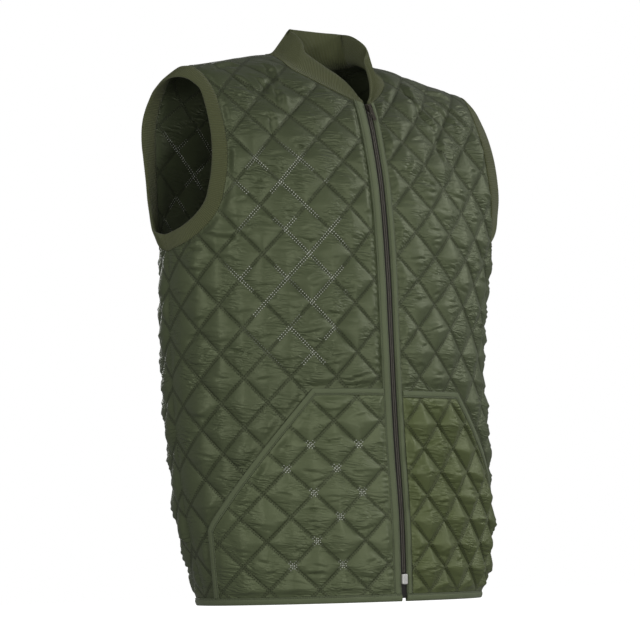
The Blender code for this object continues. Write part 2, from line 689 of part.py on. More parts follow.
# rib collar: leaves the seam in line with the cloth, then stands up and leans in to the neck
halves = []
for word, side in SIDES.items():
    spot, on, face, run = neck_run(side)
    share = run / run[-1]
    leave = steady(on, run, COLLAR_STEADY)
    height = through(share, COLLAR["share"], COLLAR[word]["height"])
    lean = np.radians(through(share, COLLAR["share"], COLLAR[word]["lean_deg"]))
    ahead = np.gradient(spot[:, :2], axis=0)
    ahead = ahead / np.linalg.norm(ahead, axis=1, keepdims=True)
    to_axis = np.array([0.0, NECK_AXIS_Y]) - spot[:, :2]
    to_axis = COLLAR_TO_AXIS * to_axis / np.linalg.norm(to_axis, axis=1, keepdims=True)
    square = side * np.stack([-ahead[:, 1], ahead[:, 0]], axis=1)
    to_axis = to_axis + (1 - COLLAR_TO_AXIS) * square
    to_axis[-1, 0] = 0.0
    to_axis = to_axis / np.linalg.norm(to_axis, axis=1, keepdims=True)
    stand = np.concatenate([to_axis * np.sin(lean)[:, None], np.cos(lean)[:, None]], axis=1)
    flat_out = np.concatenate([-to_axis * np.cos(lean)[:, None], np.sin(lean)[:, None]], axis=1)
    mid = spot - face * (WALL / 2) + on * GAP * 1.5
    outer_rows = []
    inner_rows = []
    for step in range(COLLAR_STEPS + 1):
        blend = ease(step / COLLAR_STEPS / COLLAR_TURN)
        if step in COLLAR_ROWS:
            out = face * (1 - blend) + flat_out * blend
            out = out / np.linalg.norm(out, axis=1, keepdims=True)
            outer_rows.append(mid + out * COLLAR_THICK * COLLAR_ROWS[step])
            inner_rows.append(mid - out * COLLAR_THICK * COLLAR_ROWS[step])
        way = leave * (1 - blend) + stand * blend
        way = way / np.linalg.norm(way, axis=1, keepdims=True)
        mid = mid + way * (height / COLLAR_STEPS)[:, None]
    halves.append(np.stack(outer_rows + inner_rows[::-1], axis=1))
loop = np.concatenate([halves[0], halves[1][::-1][1:]])
swept("collar", loop, False, rib)


def fit_frame(t, lift):
    """Place on the zip: point, way up along the zip and way out, square to the X axis."""
    spot = cloth(np.zeros(1), np.array([t]))[0]
    up = cloth(np.zeros(1), np.array([t + 0.004]))[0] - cloth(np.zeros(1), np.array([t - 0.004]))[0]
    up[0] = 0.0
    up = up / np.linalg.norm(up)
    out = np.cross(np.array([1.0, 0.0, 0.0]), up)
    return spot + out * lift, up, out


def block(frame, wide, along, through_out):
    """Eight corners and faces of a block in a zip frame."""
    spot, up, out = frame
    corners = []
    for x in wide:
        for u in along:
            for n in through_out:
                corners.append(spot + np.array([x, 0.0, 0.0]) + up * u + out * n)
    faces = [(0, 1, 3, 2), (4, 6, 7, 5), (0, 4, 5, 1), (2, 3, 7, 6), (0, 2, 6, 4), (1, 5, 7, 3)]
    return np.array(corners), faces


# slider with two ears that hold the pull tab
frame = fit_frame(SLIDER_T, ZIP_LIFT)
wide = SLIDER["wide"] / 2
length = SLIDER["long"] / 2
thick = SLIDER["thick"]
spot, up, out = frame
foot = wide * SLIDER["foot"]
head = wide * SLIDER["head"]
waist = length * SLIDER["waist"]
plan = ((-foot, -length), (foot, -length), (wide, waist), (head, length), (-head, length), (-wide, waist))
corners = [spot + np.array([x, 0.0, 0.0]) + up * u + out * n for n in (0.0, thick) for x, u in plan]
sides = [(i, (i + 1) % 6, 6 + (i + 1) % 6, 6 + i) for i in range(6)]
slider = solid("zip_slider", corners, [tuple(range(6)), tuple(range(6, 12))] + sides, slider_metal)
pivot_u = length * PIVOT_SHARE
for sign in (-1.0, 1.0):
    near = sign * EAR["apart"] / 2
    far = near + sign * EAR["wide"]
    along = (pivot_u - EAR["long"] / 2, pivot_u + EAR["long"] / 2)
    verts, faces = block(frame, sorted((near, far)), along, (thick - EAR["sunk"], thick + EAR["high"]))
    ear = solid("ear", verts, faces, slider_metal)
    union = slider.modifiers.new("ear", "BOOLEAN")
    union.operation = "UNION"
    union.solver = "EXACT"
    union.object = ear
    whole = slider.evaluated_get(bpy.context.evaluated_depsgraph_get())
    joined = bpy.data.meshes.new_from_object(whole)
    slider.modifiers.clear()
    slider.data = joined
    bpy.data.objects.remove(ear, do_unlink=True)

# pull tab: a barrel between the ears and a flat tongue hanging down the zip
pivot = spot + up * pivot_u + out * (thick + EAR["high"] * PIVOT_HIGH)
radius = PULL["thick"] * BARREL
barrel = EAR["apart"] - 2 * GAP
profile = []
for i in range(8):
    angle = math.radians(22.5 + 45 * i)
    profile.append((math.cos(angle) * radius, math.sin(angle) * radius))
ends = (-barrel / 2, barrel / 2)
verts = [pivot + np.array([x, 0.0, 0.0]) + up * u + out * n for x in ends for u, n in profile]
sides = [(i, (i + 1) % 8, 8 + (i + 1) % 8, 8 + i) for i in range(8)]
faces = [tuple(range(8)), tuple(range(8, 16))] + sides
pull = solid("zip_pull", verts, faces, slider_metal)
half_t = PULL["thick"] / 2
neck_w = PULL["neck"] / 2
full_w = PULL["wide"] / 2
one_side = ((neck_w, 0.0), (neck_w, -PULL["neck_end"]), (full_w, -PULL["shoulder"]),
            (full_w, -PULL["long"] + PULL["corner"]), (full_w - PULL["corner"], -PULL["long"]))
plan = [(-x, u) for x, u in one_side] + [(x, u) for x, u in reversed(one_side)]
corners = [np.array([x, 0.0, 0.0]) + pivot + up * u + out * n for n in (-half_t, half_t) for x, u in plan]
count = len(plan)
sides = [(i, (i + 1) % count, count + (i + 1) % count, count + i) for i in range(count)]
faces = [tuple(range(count)), tuple(range(count, 2 * count))] + sides
tongue = solid("tongue", corners, faces, slider_metal)
union = pull.modifiers.new("tongue", "BOOLEAN")
union.operation = "UNION"
union.solver = "EXACT"
union.object = tongue
whole = pull.evaluated_get(bpy.context.evaluated_depsgraph_get())
joined = bpy.data.meshes.new_from_object(whole)
pull.modifiers.clear()
pull.data = joined
bpy.data.objects.remove(tongue, do_unlink=True)
pull.data.transform(Matrix.Translation(-Vector(pivot)))
pull.location = Vector(pivot)

# retainer box that closes the foot of the zip
verts, faces = block(fit_frame(BOX_T, ZIP_LIFT), (-BOX["wide"] / 2, BOX["wide"] / 2),
                     (-BOX["long"] / 2, BOX["long"] / 2), (0.0, BOX["thick"]))
box = solid("zip_box", verts, faces, box_metal)
edge = box.modifiers.new("edge", "BEVEL")
edge.width = BOX_BEVEL
edge.segments = 1
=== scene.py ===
"""Looks of the quilted thermal vest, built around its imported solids.

Cloth is made from its cut: s runs across from the centre line and t up from the hem, and both are
carried to the worn form. Lengths are metres, +Z is up and the front faces -Y.
"""
import math

import bmesh
import bpy
import numpy as np
from mathutils import Matrix, Vector


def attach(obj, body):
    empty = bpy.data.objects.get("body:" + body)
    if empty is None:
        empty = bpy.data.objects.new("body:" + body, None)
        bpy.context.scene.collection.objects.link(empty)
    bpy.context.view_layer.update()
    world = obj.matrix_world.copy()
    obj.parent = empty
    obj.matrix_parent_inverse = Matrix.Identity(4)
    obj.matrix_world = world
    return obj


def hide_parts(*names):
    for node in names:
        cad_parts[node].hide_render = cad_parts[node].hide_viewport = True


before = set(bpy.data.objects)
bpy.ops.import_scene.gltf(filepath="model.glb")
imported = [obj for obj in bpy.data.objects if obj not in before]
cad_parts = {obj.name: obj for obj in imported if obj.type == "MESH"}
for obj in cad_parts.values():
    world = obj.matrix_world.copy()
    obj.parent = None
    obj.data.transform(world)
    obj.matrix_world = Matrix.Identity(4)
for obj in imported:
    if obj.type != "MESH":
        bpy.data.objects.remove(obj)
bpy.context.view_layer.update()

# Front panels
# Two halves of thin padding between two layers of taffeta, welded together in diamonds by rows of dots.
# Each is cut with half a neck, an armhole and a straight front edge, and sewn to the back at the side
# and the shoulder.

BODY = {
    "z": (-0.708, -0.610, -0.500, -0.380, -0.280),
    "half_width": (0.1974, 0.2203, 0.2267, 0.2268, 0.2371),
    "front_depth": (0.1510, 0.1531, 0.1549, 0.1625, 0.1492),
    "shift_x": (0.0057, 0.0027, -0.0046, -0.0086, -0.0005),
    "shift_y": (-0.0005, -0.0009, -0.0006, 0.0034, -0.0005),
}
BACK_SHARE = 0.797
ROUND = 0.9727
RIDGE = {"y": 0.0112, "forward": 0.1465, "slope": 0.2959, "ease": 0.2457, "soft": 0.012, "tilt": 0.0291,
         "neck": 0.0870}
CAP = {"front": 1.0745, "back": 1.0, "ease": 0.25, "from": 0.13, "over": 0.09}
SWAY = {
    "t": (0.0, 0.09, 0.19, 0.29, 0.39, 0.442, 0.494, 0.535, 0.577, 0.615, 0.65, 0.70, 0.74),
    "x": (0.0, 0.0, 0.001, -0.0003, -0.0034, -0.0061, -0.0054, -0.0029, 0.0001, 0.0045, 0.0093,
          0.0045, 0.0),
}
SWAY_REACH = 0.16
ARMPIT_T = 0.4470
ARMHOLE = {
    "share": (0.0, 0.0092, 0.027, 0.083, 0.175, 0.297, 0.43, 0.539, 0.681, 0.815, 0.918, 0.972, 1.0),
    "x": (0.2371, 0.2366, 0.2326, 0.2213, 0.2077, 0.1998, 0.1950, 0.1938, 0.1950, 0.1985, 0.2058,
          0.2112, 0.2145),
}
BACK_EASE = 0.008
FLARE = {
    "back": {
        "from": 0.110, "over": 0.140, "out": 0.043, "aside": 0.6, "ahead": -0.8,
        "level": (0.0, 0.07, 0.19, 0.30, 0.42, 0.525, 0.615, 0.70, 0.77, 0.865, 0.945, 1.0),
        "share": (0.0, 0.0, 0.23, 0.50, 0.67, 0.83, 0.97, 1.0, 0.90, 0.57, 0.17, 0.0),
    },
    "front_left": {
        "from": 0.130, "over": 0.130, "out": 0.040, "aside": 0.85, "ahead": 0.52,
        "level": (0.0, 0.07, 0.15, 0.25, 0.40, 0.55, 0.68, 0.80, 0.92, 1.0),
        "share": (0.0, 0.0, 0.10, 0.42, 0.82, 0.88, 0.66, 0.32, 0.06, 0.0),
    },
}
TIP = {"over": 0.0105, "level": 0.55, "drop": 0.010, "out": 0.008}
NECK_FRONT_T = 0.6485
NECK_FRONT = {
    "right": (0.0, 0.0092, 0.0221, 0.0416, 0.0629, 0.0778, 0.0812, 0.0800),
    "left": (0.0, 0.0088, 0.0205, 0.0385, 0.0560, 0.0605, 0.0590, 0.0600),
    "share": (0.0, 0.0106, 0.0722, 0.1818, 0.3344, 0.470, 0.650, 1.0),
}
NECK_BACK = {
    "right": (0.0, 0.028, 0.054, 0.070, 0.0778, 0.0800),
    "left": (0.0, 0.023, 0.043, 0.0540, 0.0588, 0.0600),
    "drop": (0.022, 0.0213, 0.018, 0.012, 0.006, 0.0),
}
GAP = 0.0003
WALL = 0.0015
HEM_Z = BODY["z"][0]
CHEST_Z = BODY["z"][-1]
CHEST_T = CHEST_Z - HEM_Z
TURN = np.linspace(0.0, math.pi / 2, 121)
RISE = np.linspace(0.0, math.pi / 2, 181)[:, None]


def through(x, xs, ys):
    """Smooth curve through the rows of a table."""
    xs = np.asarray(xs, float)
    ys = np.asarray(ys, float)
    slope = np.gradient(ys, xs)
    x = np.clip(x, xs[0], xs[-1])
    i = np.clip(np.searchsorted(xs, x) - 1, 0, len(xs) - 2)
    run = xs[i + 1] - xs[i]
    u = (x - xs[i]) / run
    start = (1 + 2 * u) * (1 - u) ** 2 * ys[i] + u * (1 - u) ** 2 * run * slope[i]
    end = u * u * (3 - 2 * u) * ys[i + 1] + u * u * (u - 1) * run * slope[i + 1]
    return start + end


def ease(u):
    """Smooth step from 0 to 1."""
    u = np.clip(u, 0.0, 1.0)
    return u * u * (3 - 2 * u)


def unit(v):
    """Vectors brought to length one."""
    return v / np.linalg.norm(v, axis=-1, keepdims=True)


def running(path):
    """Running length at each point of a path."""
    return np.concatenate([[0.0], np.cumsum(np.linalg.norm(np.diff(path, axis=0), axis=1))])


def arc(width, depth):
    """Running length round a quarter of the body, from the centre line to the side."""
    x = width * np.sin(TURN) ** ROUND
    y = depth * np.cos(TURN) ** ROUND
    return running(np.stack([x, y], axis=1))


def depths(back):
    return np.asarray(BODY["front_depth"]) * (BACK_SHARE if back else 1.0)


QUARTER = {b: [arc(w, d)[-1] for w, d in zip(BODY["half_width"], depths(b))] for b in (False, True)}
MEAN_ARC = {b: arc(np.mean(BODY["half_width"]), np.mean(depths(b))) for b in (False, True)}


def side_s(t, back):
    """Distance across from the centre line to the side seam."""
    return through(HEM_Z + np.minimum(t, CHEST_T), BODY["z"], QUARTER[back])


def girth(s, z, back):
    """Point of the body ring at height z."""
    share = np.clip(np.abs(s) / through(z, BODY["z"], QUARTER[back]), 0.0, 1.0)
    turn = np.interp(share, MEAN_ARC[back] / MEAN_ARC[back][-1], TURN)
    width = through(z, BODY["z"], BODY["half_width"])
    depth = through(z, BODY["z"], depths(back))
    x = through(z, BODY["z"], BODY["shift_x"]) + np.sign(s) * width * np.sin(turn) ** ROUND
    y = through(z, BODY["z"], BODY["shift_y"]) + (1 if back else -1) * depth * np.cos(turn) ** ROUND
    return x, y


def shoulder_top(x):
    """Shoulder line above x: its depth and height."""
    out = np.abs(x - BODY["shift_x"][-1]) - RIDGE["neck"]
    past = np.clip(out, 0.0, None)
    soft = 0.5 * (out + np.sqrt(out * out + 4 * RIDGE["soft"] ** 2)) - RIDGE["soft"]
    y = RIDGE["y"] - RIDGE["forward"] * past
    z = -RIDGE["slope"] * soft + RIDGE["ease"] * past ** 2 - RIDGE["tilt"] * x
    return y, z


def climb_table(s, back):
    """Running length up each column of cloth from the chest to the shoulder line."""
    x, y = girth(s, np.full(s.shape, CHEST_Z), back)
    top_y, top_z = shoulder_top(x)
    bend = CAP["back" if back else "front"] - CAP["ease"] * ease((np.abs(x) - CAP["from"]) / CAP["over"])
    across = np.cos(RISE) ** bend
    up = np.sin(RISE) ** bend
    step = np.hypot(np.diff(across, axis=0) * (y - top_y), np.diff(up, axis=0) * (top_z - CHEST_Z))
    run = np.concatenate([np.zeros((1, s.size)), np.cumsum(step, axis=0)])
    return run, across, up, y, top_y, top_z


def top_t(s, back):
    """Cloth height of the shoulder line above the column s."""
    s = np.atleast_1d(np.asarray(s, float))
    return CHEST_T + climb_table(s, back)[0][-1]


def worn_point(s, t, back):
    """Point of the worn cloth for a point of the cut."""
    z = HEM_Z + np.minimum(t, CHEST_T)
    x, y = girth(s, z, back)
    run, across, up, chest_y, top_y, top_z = climb_table(s, back)
    climb = np.minimum(np.clip(t - CHEST_T, 0.0, None), run[-1])
    i = np.clip((run < climb).sum(axis=0), 1, len(RISE) - 1)
    col = np.arange(s.size)
    u = (climb - run[i - 1, col]) / np.maximum(run[i, col] - run[i - 1, col], 1e-9)
    a = across[i - 1, col] * (1 - u) + across[i, col] * u
    b = up[i - 1, col] * (1 - u) + up[i, col] * u
    high = t > CHEST_T
    y = np.where(high, top_y + (chest_y - top_y) * a, y)
    z = np.where(high, CHEST_Z + (top_z - CHEST_Z) * b, z)
    level = climb / run[-1]
    past = np.clip((np.abs(x - BODY["shift_x"][-1]) - ARMHOLE["x"][-1]) / TIP["over"], 0.0, 1.2)
    droop = past ** 2 * ease((level - TIP["level"]) / (1 - TIP["level"]))
    x = x + np.sign(s) * TIP["out"] * droop
    z = z - TIP["drop"] * droop
    for key, here in (("back", back), ("front_left", (s > 0.0) & (not back))):
        flare = FLARE[key]
        reach = np.clip((np.abs(s) - flare["from"]) / flare["over"], 0.0, 1.2) ** 2
        stand = flare["out"] * reach * through(level, flare["level"], flare["share"]) * here
        x = x + np.sign(s) * flare["aside"] * stand
        y = y - flare["ahead"] * stand
    if not back:
        x = x + through(t, SWAY["t"], SWAY["x"]) * np.clip(1 - np.abs(s) / SWAY_REACH, 0, 1) ** 2
    return np.stack([x, y, z], axis=-1)


def worn(spots, back=False):
    """Worn place and outward direction of points of the cut, worked out a few thousand at a time."""
    step = 0.0015
    places = []
    faces = []
    flat = np.asarray(spots, float).reshape(-1, 2)
    for part in np.array_split(flat, len(flat) // 5000 + 1):
        s, t = part.T
        rise = np.clip(top_t(s, back) - t, 0.00002, step)
        across = worn_point(s + step, t, back) - worn_point(s - step, t, back)
        up = worn_point(s, t + rise, back) - worn_point(s, t - rise, back)
        face = np.cross(across, up) * (-1.0 if back else 1.0)
        places.append(worn_point(s, t, back))
        faces.append(unit(face))
    shape = np.shape(spots)[:-1] + (3,)
    return np.concatenate(places).reshape(shape), np.concatenate(faces).reshape(shape)


def column(x, back):
    """Distance across whose chest ring lies at distance x from the centre plane."""
    s = np.linspace(0.0, QUARTER[back][-1], 300)
    reach = girth(s, np.full(300, CHEST_Z), back)[0] - BODY["shift_x"][-1]
    return np.interp(x, reach, s)


def even(path, count):
    """Path cut into points at even distances."""
    run = running(path)
    at = np.linspace(0.0, run[-1], count)
    return np.stack([np.interp(at, run, path[:, 0]), np.interp(at, run, path[:, 1])], axis=1)


def straight(path, spacing):
    """Path with its corners kept and points about spacing apart."""
    path = np.asarray(path, float)
    out = [path[:1]]
    for a, b in zip(path[:-1], path[1:]):
        count = max(1, round(float(np.hypot(*(b - a))) / spacing))
        out.append(a + (b - a) * (np.arange(1, count + 1) / count)[:, None])
    return np.concatenate(out)


def armhole(side, back, count):
    """Armhole seam in the cut, armpit to shoulder."""
    share = np.linspace(0.0, 1.0, 200) ** 1.7
    x = through(share, ARMHOLE["share"], ARMHOLE["x"])
    x = x + (BACK_EASE * np.sin(math.pi * share) ** 2 if back else 0.0)
    s = column(x, back)
    tip = float(top_t(side * s[-1:], back)[0])
    t = ARMPIT_T + share * (tip - ARMPIT_T)
    s[0] = side_s(ARMPIT_T, back)
    return even(np.stack([s, t], axis=1), count) * np.array([side, 1.0])


def neck(side, back, count):
    """Neck seam in the cut, centre line to shoulder."""
    table = NECK_BACK if back else NECK_FRONT
    reach = table["right" if side < 0 else "left"]
    u = np.linspace(0.0, 1.0, 200)
    row = np.linspace(0.0, 1.0, len(reach))
    s = column(through(u, row, reach), back)
    top = top_t(side * s, back)
    if back:
        t = top - through(u, row, table["drop"])
    else:
        t = NECK_FRONT_T + through(u, row, table["share"]) * (top[-1] - NECK_FRONT_T)
    return even(np.stack([s, t], axis=1), count) * np.array([side, 1.0])


def shoulder_seam(side, back):
    """Shoulder seam in the cut, arm to neck, held off the shoulder line by half a gap."""
    neck_end = NECK_FRONT["right" if side < 0 else "left"][-1]
    s = side * column(np.linspace(ARMHOLE["x"][-1], neck_end, 60)[1:-1], back)
    return np.stack([s, top_t(s, back) - GAP / 2], axis=1)


def within(spots, loop):
    """Which spots lie inside a closed loop of the cut."""
    a = loop
    b = np.roll(loop, -1, axis=0)
    rise = np.where(b[:, 1] == a[:, 1], 1e-12, b[:, 1] - a[:, 1])
    found = []
    for part in np.array_split(spots, len(spots) // 5000 + 1):
        x = part[:, 0][:, None]
        y = part[:, 1][:, None]
        crosses = (a[:, 1] > y) != (b[:, 1] > y)
        hit = x < (b[:, 0] - a[:, 0]) * (y - a[:, 1]) / rise + a[:, 0]
        found.append((crosses & hit).sum(axis=1) % 2 == 1)
    return np.concatenate(found)


def beside(spots, line):
    """For each spot the distance to a line of the cut, how far along it that is, and the place on it."""
    a = line[:-1]
    ab = np.diff(line, axis=0)
    size = np.maximum((ab * ab).sum(axis=1), 1e-14)
    start = np.concatenate([[0.0], np.cumsum(np.sqrt(size))])[:-1]
    away = []
    along = []
    place = []
    for part in np.array_split(spots, len(spots) // 3000 + 1):
        v = part[:, None] - a
        u = np.clip((v * ab).sum(-1) / size, 0.0, 1.0)
        gap = np.linalg.norm(v - ab * u[..., None], axis=-1)
        k = gap.argmin(axis=1)
        row = np.arange(len(part))
        away.append(gap[row, k])
        along.append(start[k] + u[row, k] * np.sqrt(size[k]))
        place.append(a[k] + ab[k] * u[row, k][:, None])
    return np.concatenate(away), np.concatenate(along), np.concatenate(place)


def closed(loop):
    return np.concatenate([loop, loop[:1]])


QUILT = {
    "front_right": {"across": 0.0585, "up": 0.0617, "s": -0.0212, "t": 0.2810, "roof": 0.55, "full": 1.25},
    "front_left": {"across": 0.0585, "up": 0.0617, "s": 0.0447, "t": 0.2823, "roof": 0.65, "full": 1.30},
    "back": {"across": 0.0585, "up": 0.0617, "s": 0.0, "t": 0.2810, "roof": 0.45, "full": 1.0},
    "pocket_right": {"across": 0.0624, "up": 0.0595, "s": -0.0543, "t": 0.0181, "roof": 0.55, "full": 1.2},
    "pocket_left": {"across": 0.0539, "up": 0.0603, "s": 0.0412, "t": 0.0115, "roof": 0.85, "full": 1.9},
}
PAD = 0.0056
RIDGE_CRISP = 9.0
PUCKER = {"count": 5, "low": -0.30, "spread": 0.46, "aside": 0.22, "tilt": 0.55, "deep": 0.0034,
          "rare": 0.30, "half": 0.006, "half_more": 0.011, "thin": 0.0013, "thin_more": 0.0008, "bow": 10.0}
SEAM_FADE = 0.011
SIDE_FLAT = {"share": 0.68, "reach": 0.065}
SHOULDER_FLAT = {"share": 0.88, "reach": 0.120}


def weld_lines(spots, quilt):
    """Place of cut points across the two sets of welded lines; whole numbers lie on a line."""
    across = (spots[..., 0] - quilt["s"]) / quilt["across"]
    up = (spots[..., 1] - quilt["t"]) / quilt["up"]
    return across + up, across - up


def pads(spots, quilt, seed):
    """Height of the filled diamonds: drawn tight from side to side into a ridge, puckered, no two alike."""
    draw = np.random.default_rng(seed)
    a, b = weld_lines(spots, quilt)
    i = np.floor(a).astype(int)
    j = np.floor(b).astype(int)
    x = (a - i + b - j - 1) / 2 * quilt["across"]
    y = (a - i - b + j) / 2 * quilt["up"]
    cell = (i - i.min(), j - j.min())
    size = (cell[0].max() + 1, cell[1].max() + 1)
    crown = np.abs(np.sin(math.pi * a) * np.sin(math.pi * b)) ** 0.62
    broad = np.clip(1 - np.abs(x) / (quilt["across"] / 2), 1e-6, 1.0)
    rise = np.clip(y / (quilt["up"] / 2) / broad, -1.0, 1.0)
    ridge = draw.uniform(-0.24, 0.06, size)[cell]
    slopes = np.stack([(1 - rise) / (1 - ridge), (1 + rise) / (1 + ridge)])
    roof = np.sqrt(broad) * -np.log(np.exp(-RIDGE_CRISP * slopes).sum(axis=0)) / RIDGE_CRISP
    full = quilt["full"] * draw.uniform(0.80, 1.16, size)[cell] * (1 - 0.16 * y / (quilt["up"] / 2))
    height = PAD * full * ((1 - quilt["roof"]) * crown + 1.1 * quilt["roof"] * roof)
    for k in range(PUCKER["count"]):
        pick = draw.uniform(size=(7,) + size)
        at_y = quilt["up"] * (PUCKER["low"] + PUCKER["spread"] * pick[0][cell])
        at_x = quilt["across"] * PUCKER["aside"] * (pick[1][cell] - 0.5)
        tilt = PUCKER["tilt"] * (pick[2][cell] - 0.5)
        half = PUCKER["half"] + PUCKER["half_more"] * pick[3][cell]
        deep = PUCKER["deep"] * np.clip(pick[4][cell] - PUCKER["rare"], 0.0, 1.0)
        thin = PUCKER["thin"] + PUCKER["thin_more"] * pick[5][cell]
        bow = PUCKER["bow"] * (pick[6][cell] - 0.35)
        off = y - at_y - tilt * (x - at_x) + bow * (x - at_x) ** 2
        reach = np.clip(1 - ((x - at_x) / half) ** 2, 0.0, 1.0) * np.minimum(1.0, 1.6 * crown)
        height += deep * reach * (0.55 * np.exp(-((off - 2.4 * thin) / (1.4 * thin)) ** 2)
                                  - np.exp(-(off / thin) ** 2))
    return height


def swell(spots, seed, tall):
    """Slow unevenness of the hanging cloth."""
    draw = np.random.default_rng(seed)
    total = np.zeros(len(spots))
    for k in range(6):
        turn = draw.uniform(0, math.pi)
        wave = 2 * math.pi / draw.uniform(0.07, 0.17)
        way = spots[:, 0] * math.cos(turn) + spots[:, 1] * math.sin(turn)
        total += np.sin(way * wave + draw.uniform(0, 6.28))
    return tall * total / 3


def creases(spots, rows):
    """Soft troughs, each with a low lip on one side; a row gives its two ends, bow, depth and width."""
    total = np.zeros(len(spots))
    for s, t, to_s, to_t, bow, deep, wide in rows:
        run = np.array([to_s - s, to_t - t])
        size = np.hypot(*run)
        v = spots - (s, t)
        u = v @ run / size ** 2
        off = (v[:, 1] * run[0] - v[:, 0] * run[1]) / size - bow * 4 * u * (1 - u)
        reach = np.clip(4 * u * (1 - u), 0.0, 1.0) ** 0.6
        total -= deep * reach * np.exp(-(off / wide) ** 2)
        total += 0.6 * deep * reach * np.exp(-((off - 2.1 * wide) / (1.3 * wide)) ** 2)
    return total


def gathers(away, along, pitch, reach, deep, seed):
    """Small puckers square to a seam, unevenly spaced, dying out away from it."""
    draw = np.random.default_rng(seed)
    shift = [0.6 * math.pi * np.sin(along / draw.uniform(0.009, 0.03) + draw.uniform(0, 6))
             for k in range(3)]
    strong = 0.6 + 0.4 * np.sin(along / 0.021 + seed)
    wave = np.sin(2 * math.pi * along / pitch + sum(shift))
    return deep * strong * wave * np.exp(-(away / reach) ** 1.5)


def diamond_grid(loop, corners, quilt, parts):
    """Squares along the welded lines; those at the edge are drawn in to the cut line."""
    a, b = weld_lines(loop, quilt)
    i = np.arange(math.floor(a.min() * parts) - 1, math.ceil(a.max() * parts) + 2)
    j = np.arange(math.floor(b.min() * parts) - 1, math.ceil(b.max() * parts) + 2)
    ga, gb = np.meshgrid(i / parts, j / parts, indexing="ij")
    flat = np.stack([quilt["s"] + (ga + gb) / 2 * quilt["across"],
                     quilt["t"] + (ga - gb) / 2 * quilt["up"]], axis=-1).reshape(-1, 2)
    margin = 0.004
    near = ((flat > loop.min(axis=0) - margin) & (flat < loop.max(axis=0) + margin)).all(axis=1)
    inside = np.zeros(len(flat), bool)
    inside[near] = within(flat[near], loop)
    index = np.arange(len(flat)).reshape(ga.shape)
    quads = np.stack([index[:-1, :-1], index[:-1, 1:], index[1:, 1:], index[1:, :-1]], axis=-1)
    quads = quads.reshape(-1, 4)
    quads = quads[inside[quads].any(axis=1)]
    used, quads = np.unique(quads, return_inverse=True)
    quads = quads.reshape(-1, 4)
    flat = flat[used]
    drawn = np.flatnonzero(~inside[used])
    flat[drawn] = beside(flat[drawn], closed(loop))[2]
    for corner in corners:
        nearest = drawn[np.hypot(*(flat[drawn] - corner).T).argmin()]
        flat[nearest] = corner
    return flat, quads


def cloth_piece(name, points, faces, cut, finish, crisp=55.0):
    """Mesh object that keeps its cut places for the finish."""
    mesh = bpy.data.meshes.new(name)
    mesh.from_pydata(points.tolist(), [], faces)
    kept = mesh.attributes.new("cut", "FLOAT_VECTOR", "POINT")
    kept.data.foreach_set("vector", np.ascontiguousarray(cut, np.float32).ravel())
    work = bmesh.new()
    work.from_mesh(mesh)
    bmesh.ops.dissolve_degenerate(work, dist=2e-6, edges=work.edges[:])
    bmesh.ops.recalc_face_normals(work, faces=work.faces[:])
    work.to_mesh(mesh)
    work.free()
    mesh.shade_smooth()
    mesh.set_sharp_from_angle(angle=math.radians(crisp))
    mesh.materials.append(finish)
    piece = bpy.data.objects.new(name, mesh)
    bpy.context.scene.collection.objects.link(piece)
    return piece


def padded_panel(name, grid, back, low, high, finish):
    """Closed shell of a panel: outer heights over the cut, plain or softly filled inside, and a rim."""
    flat, quads = grid
    place, face = worn(flat, back)
    points = np.concatenate([place + face * high[:, None], place + face * low[:, None]])
    count = len(flat)
    edges = np.concatenate([quads[:, [k, (k + 1) % 4]] for k in range(4)])
    key, times = np.unique(np.sort(edges, axis=1), axis=0, return_counts=True)
    rim = key[times == 1]
    walls = np.stack([rim[:, 0], rim[:, 1], rim[:, 1] + count, rim[:, 0] + count], axis=1)
    faces = np.concatenate([quads, quads[:, ::-1] + count, walls]).tolist()
    cut = np.concatenate([np.c_[flat, np.zeros(count)], np.c_[flat, np.ones(count)]])
    return cloth_piece(name, points, faces, cut, finish)


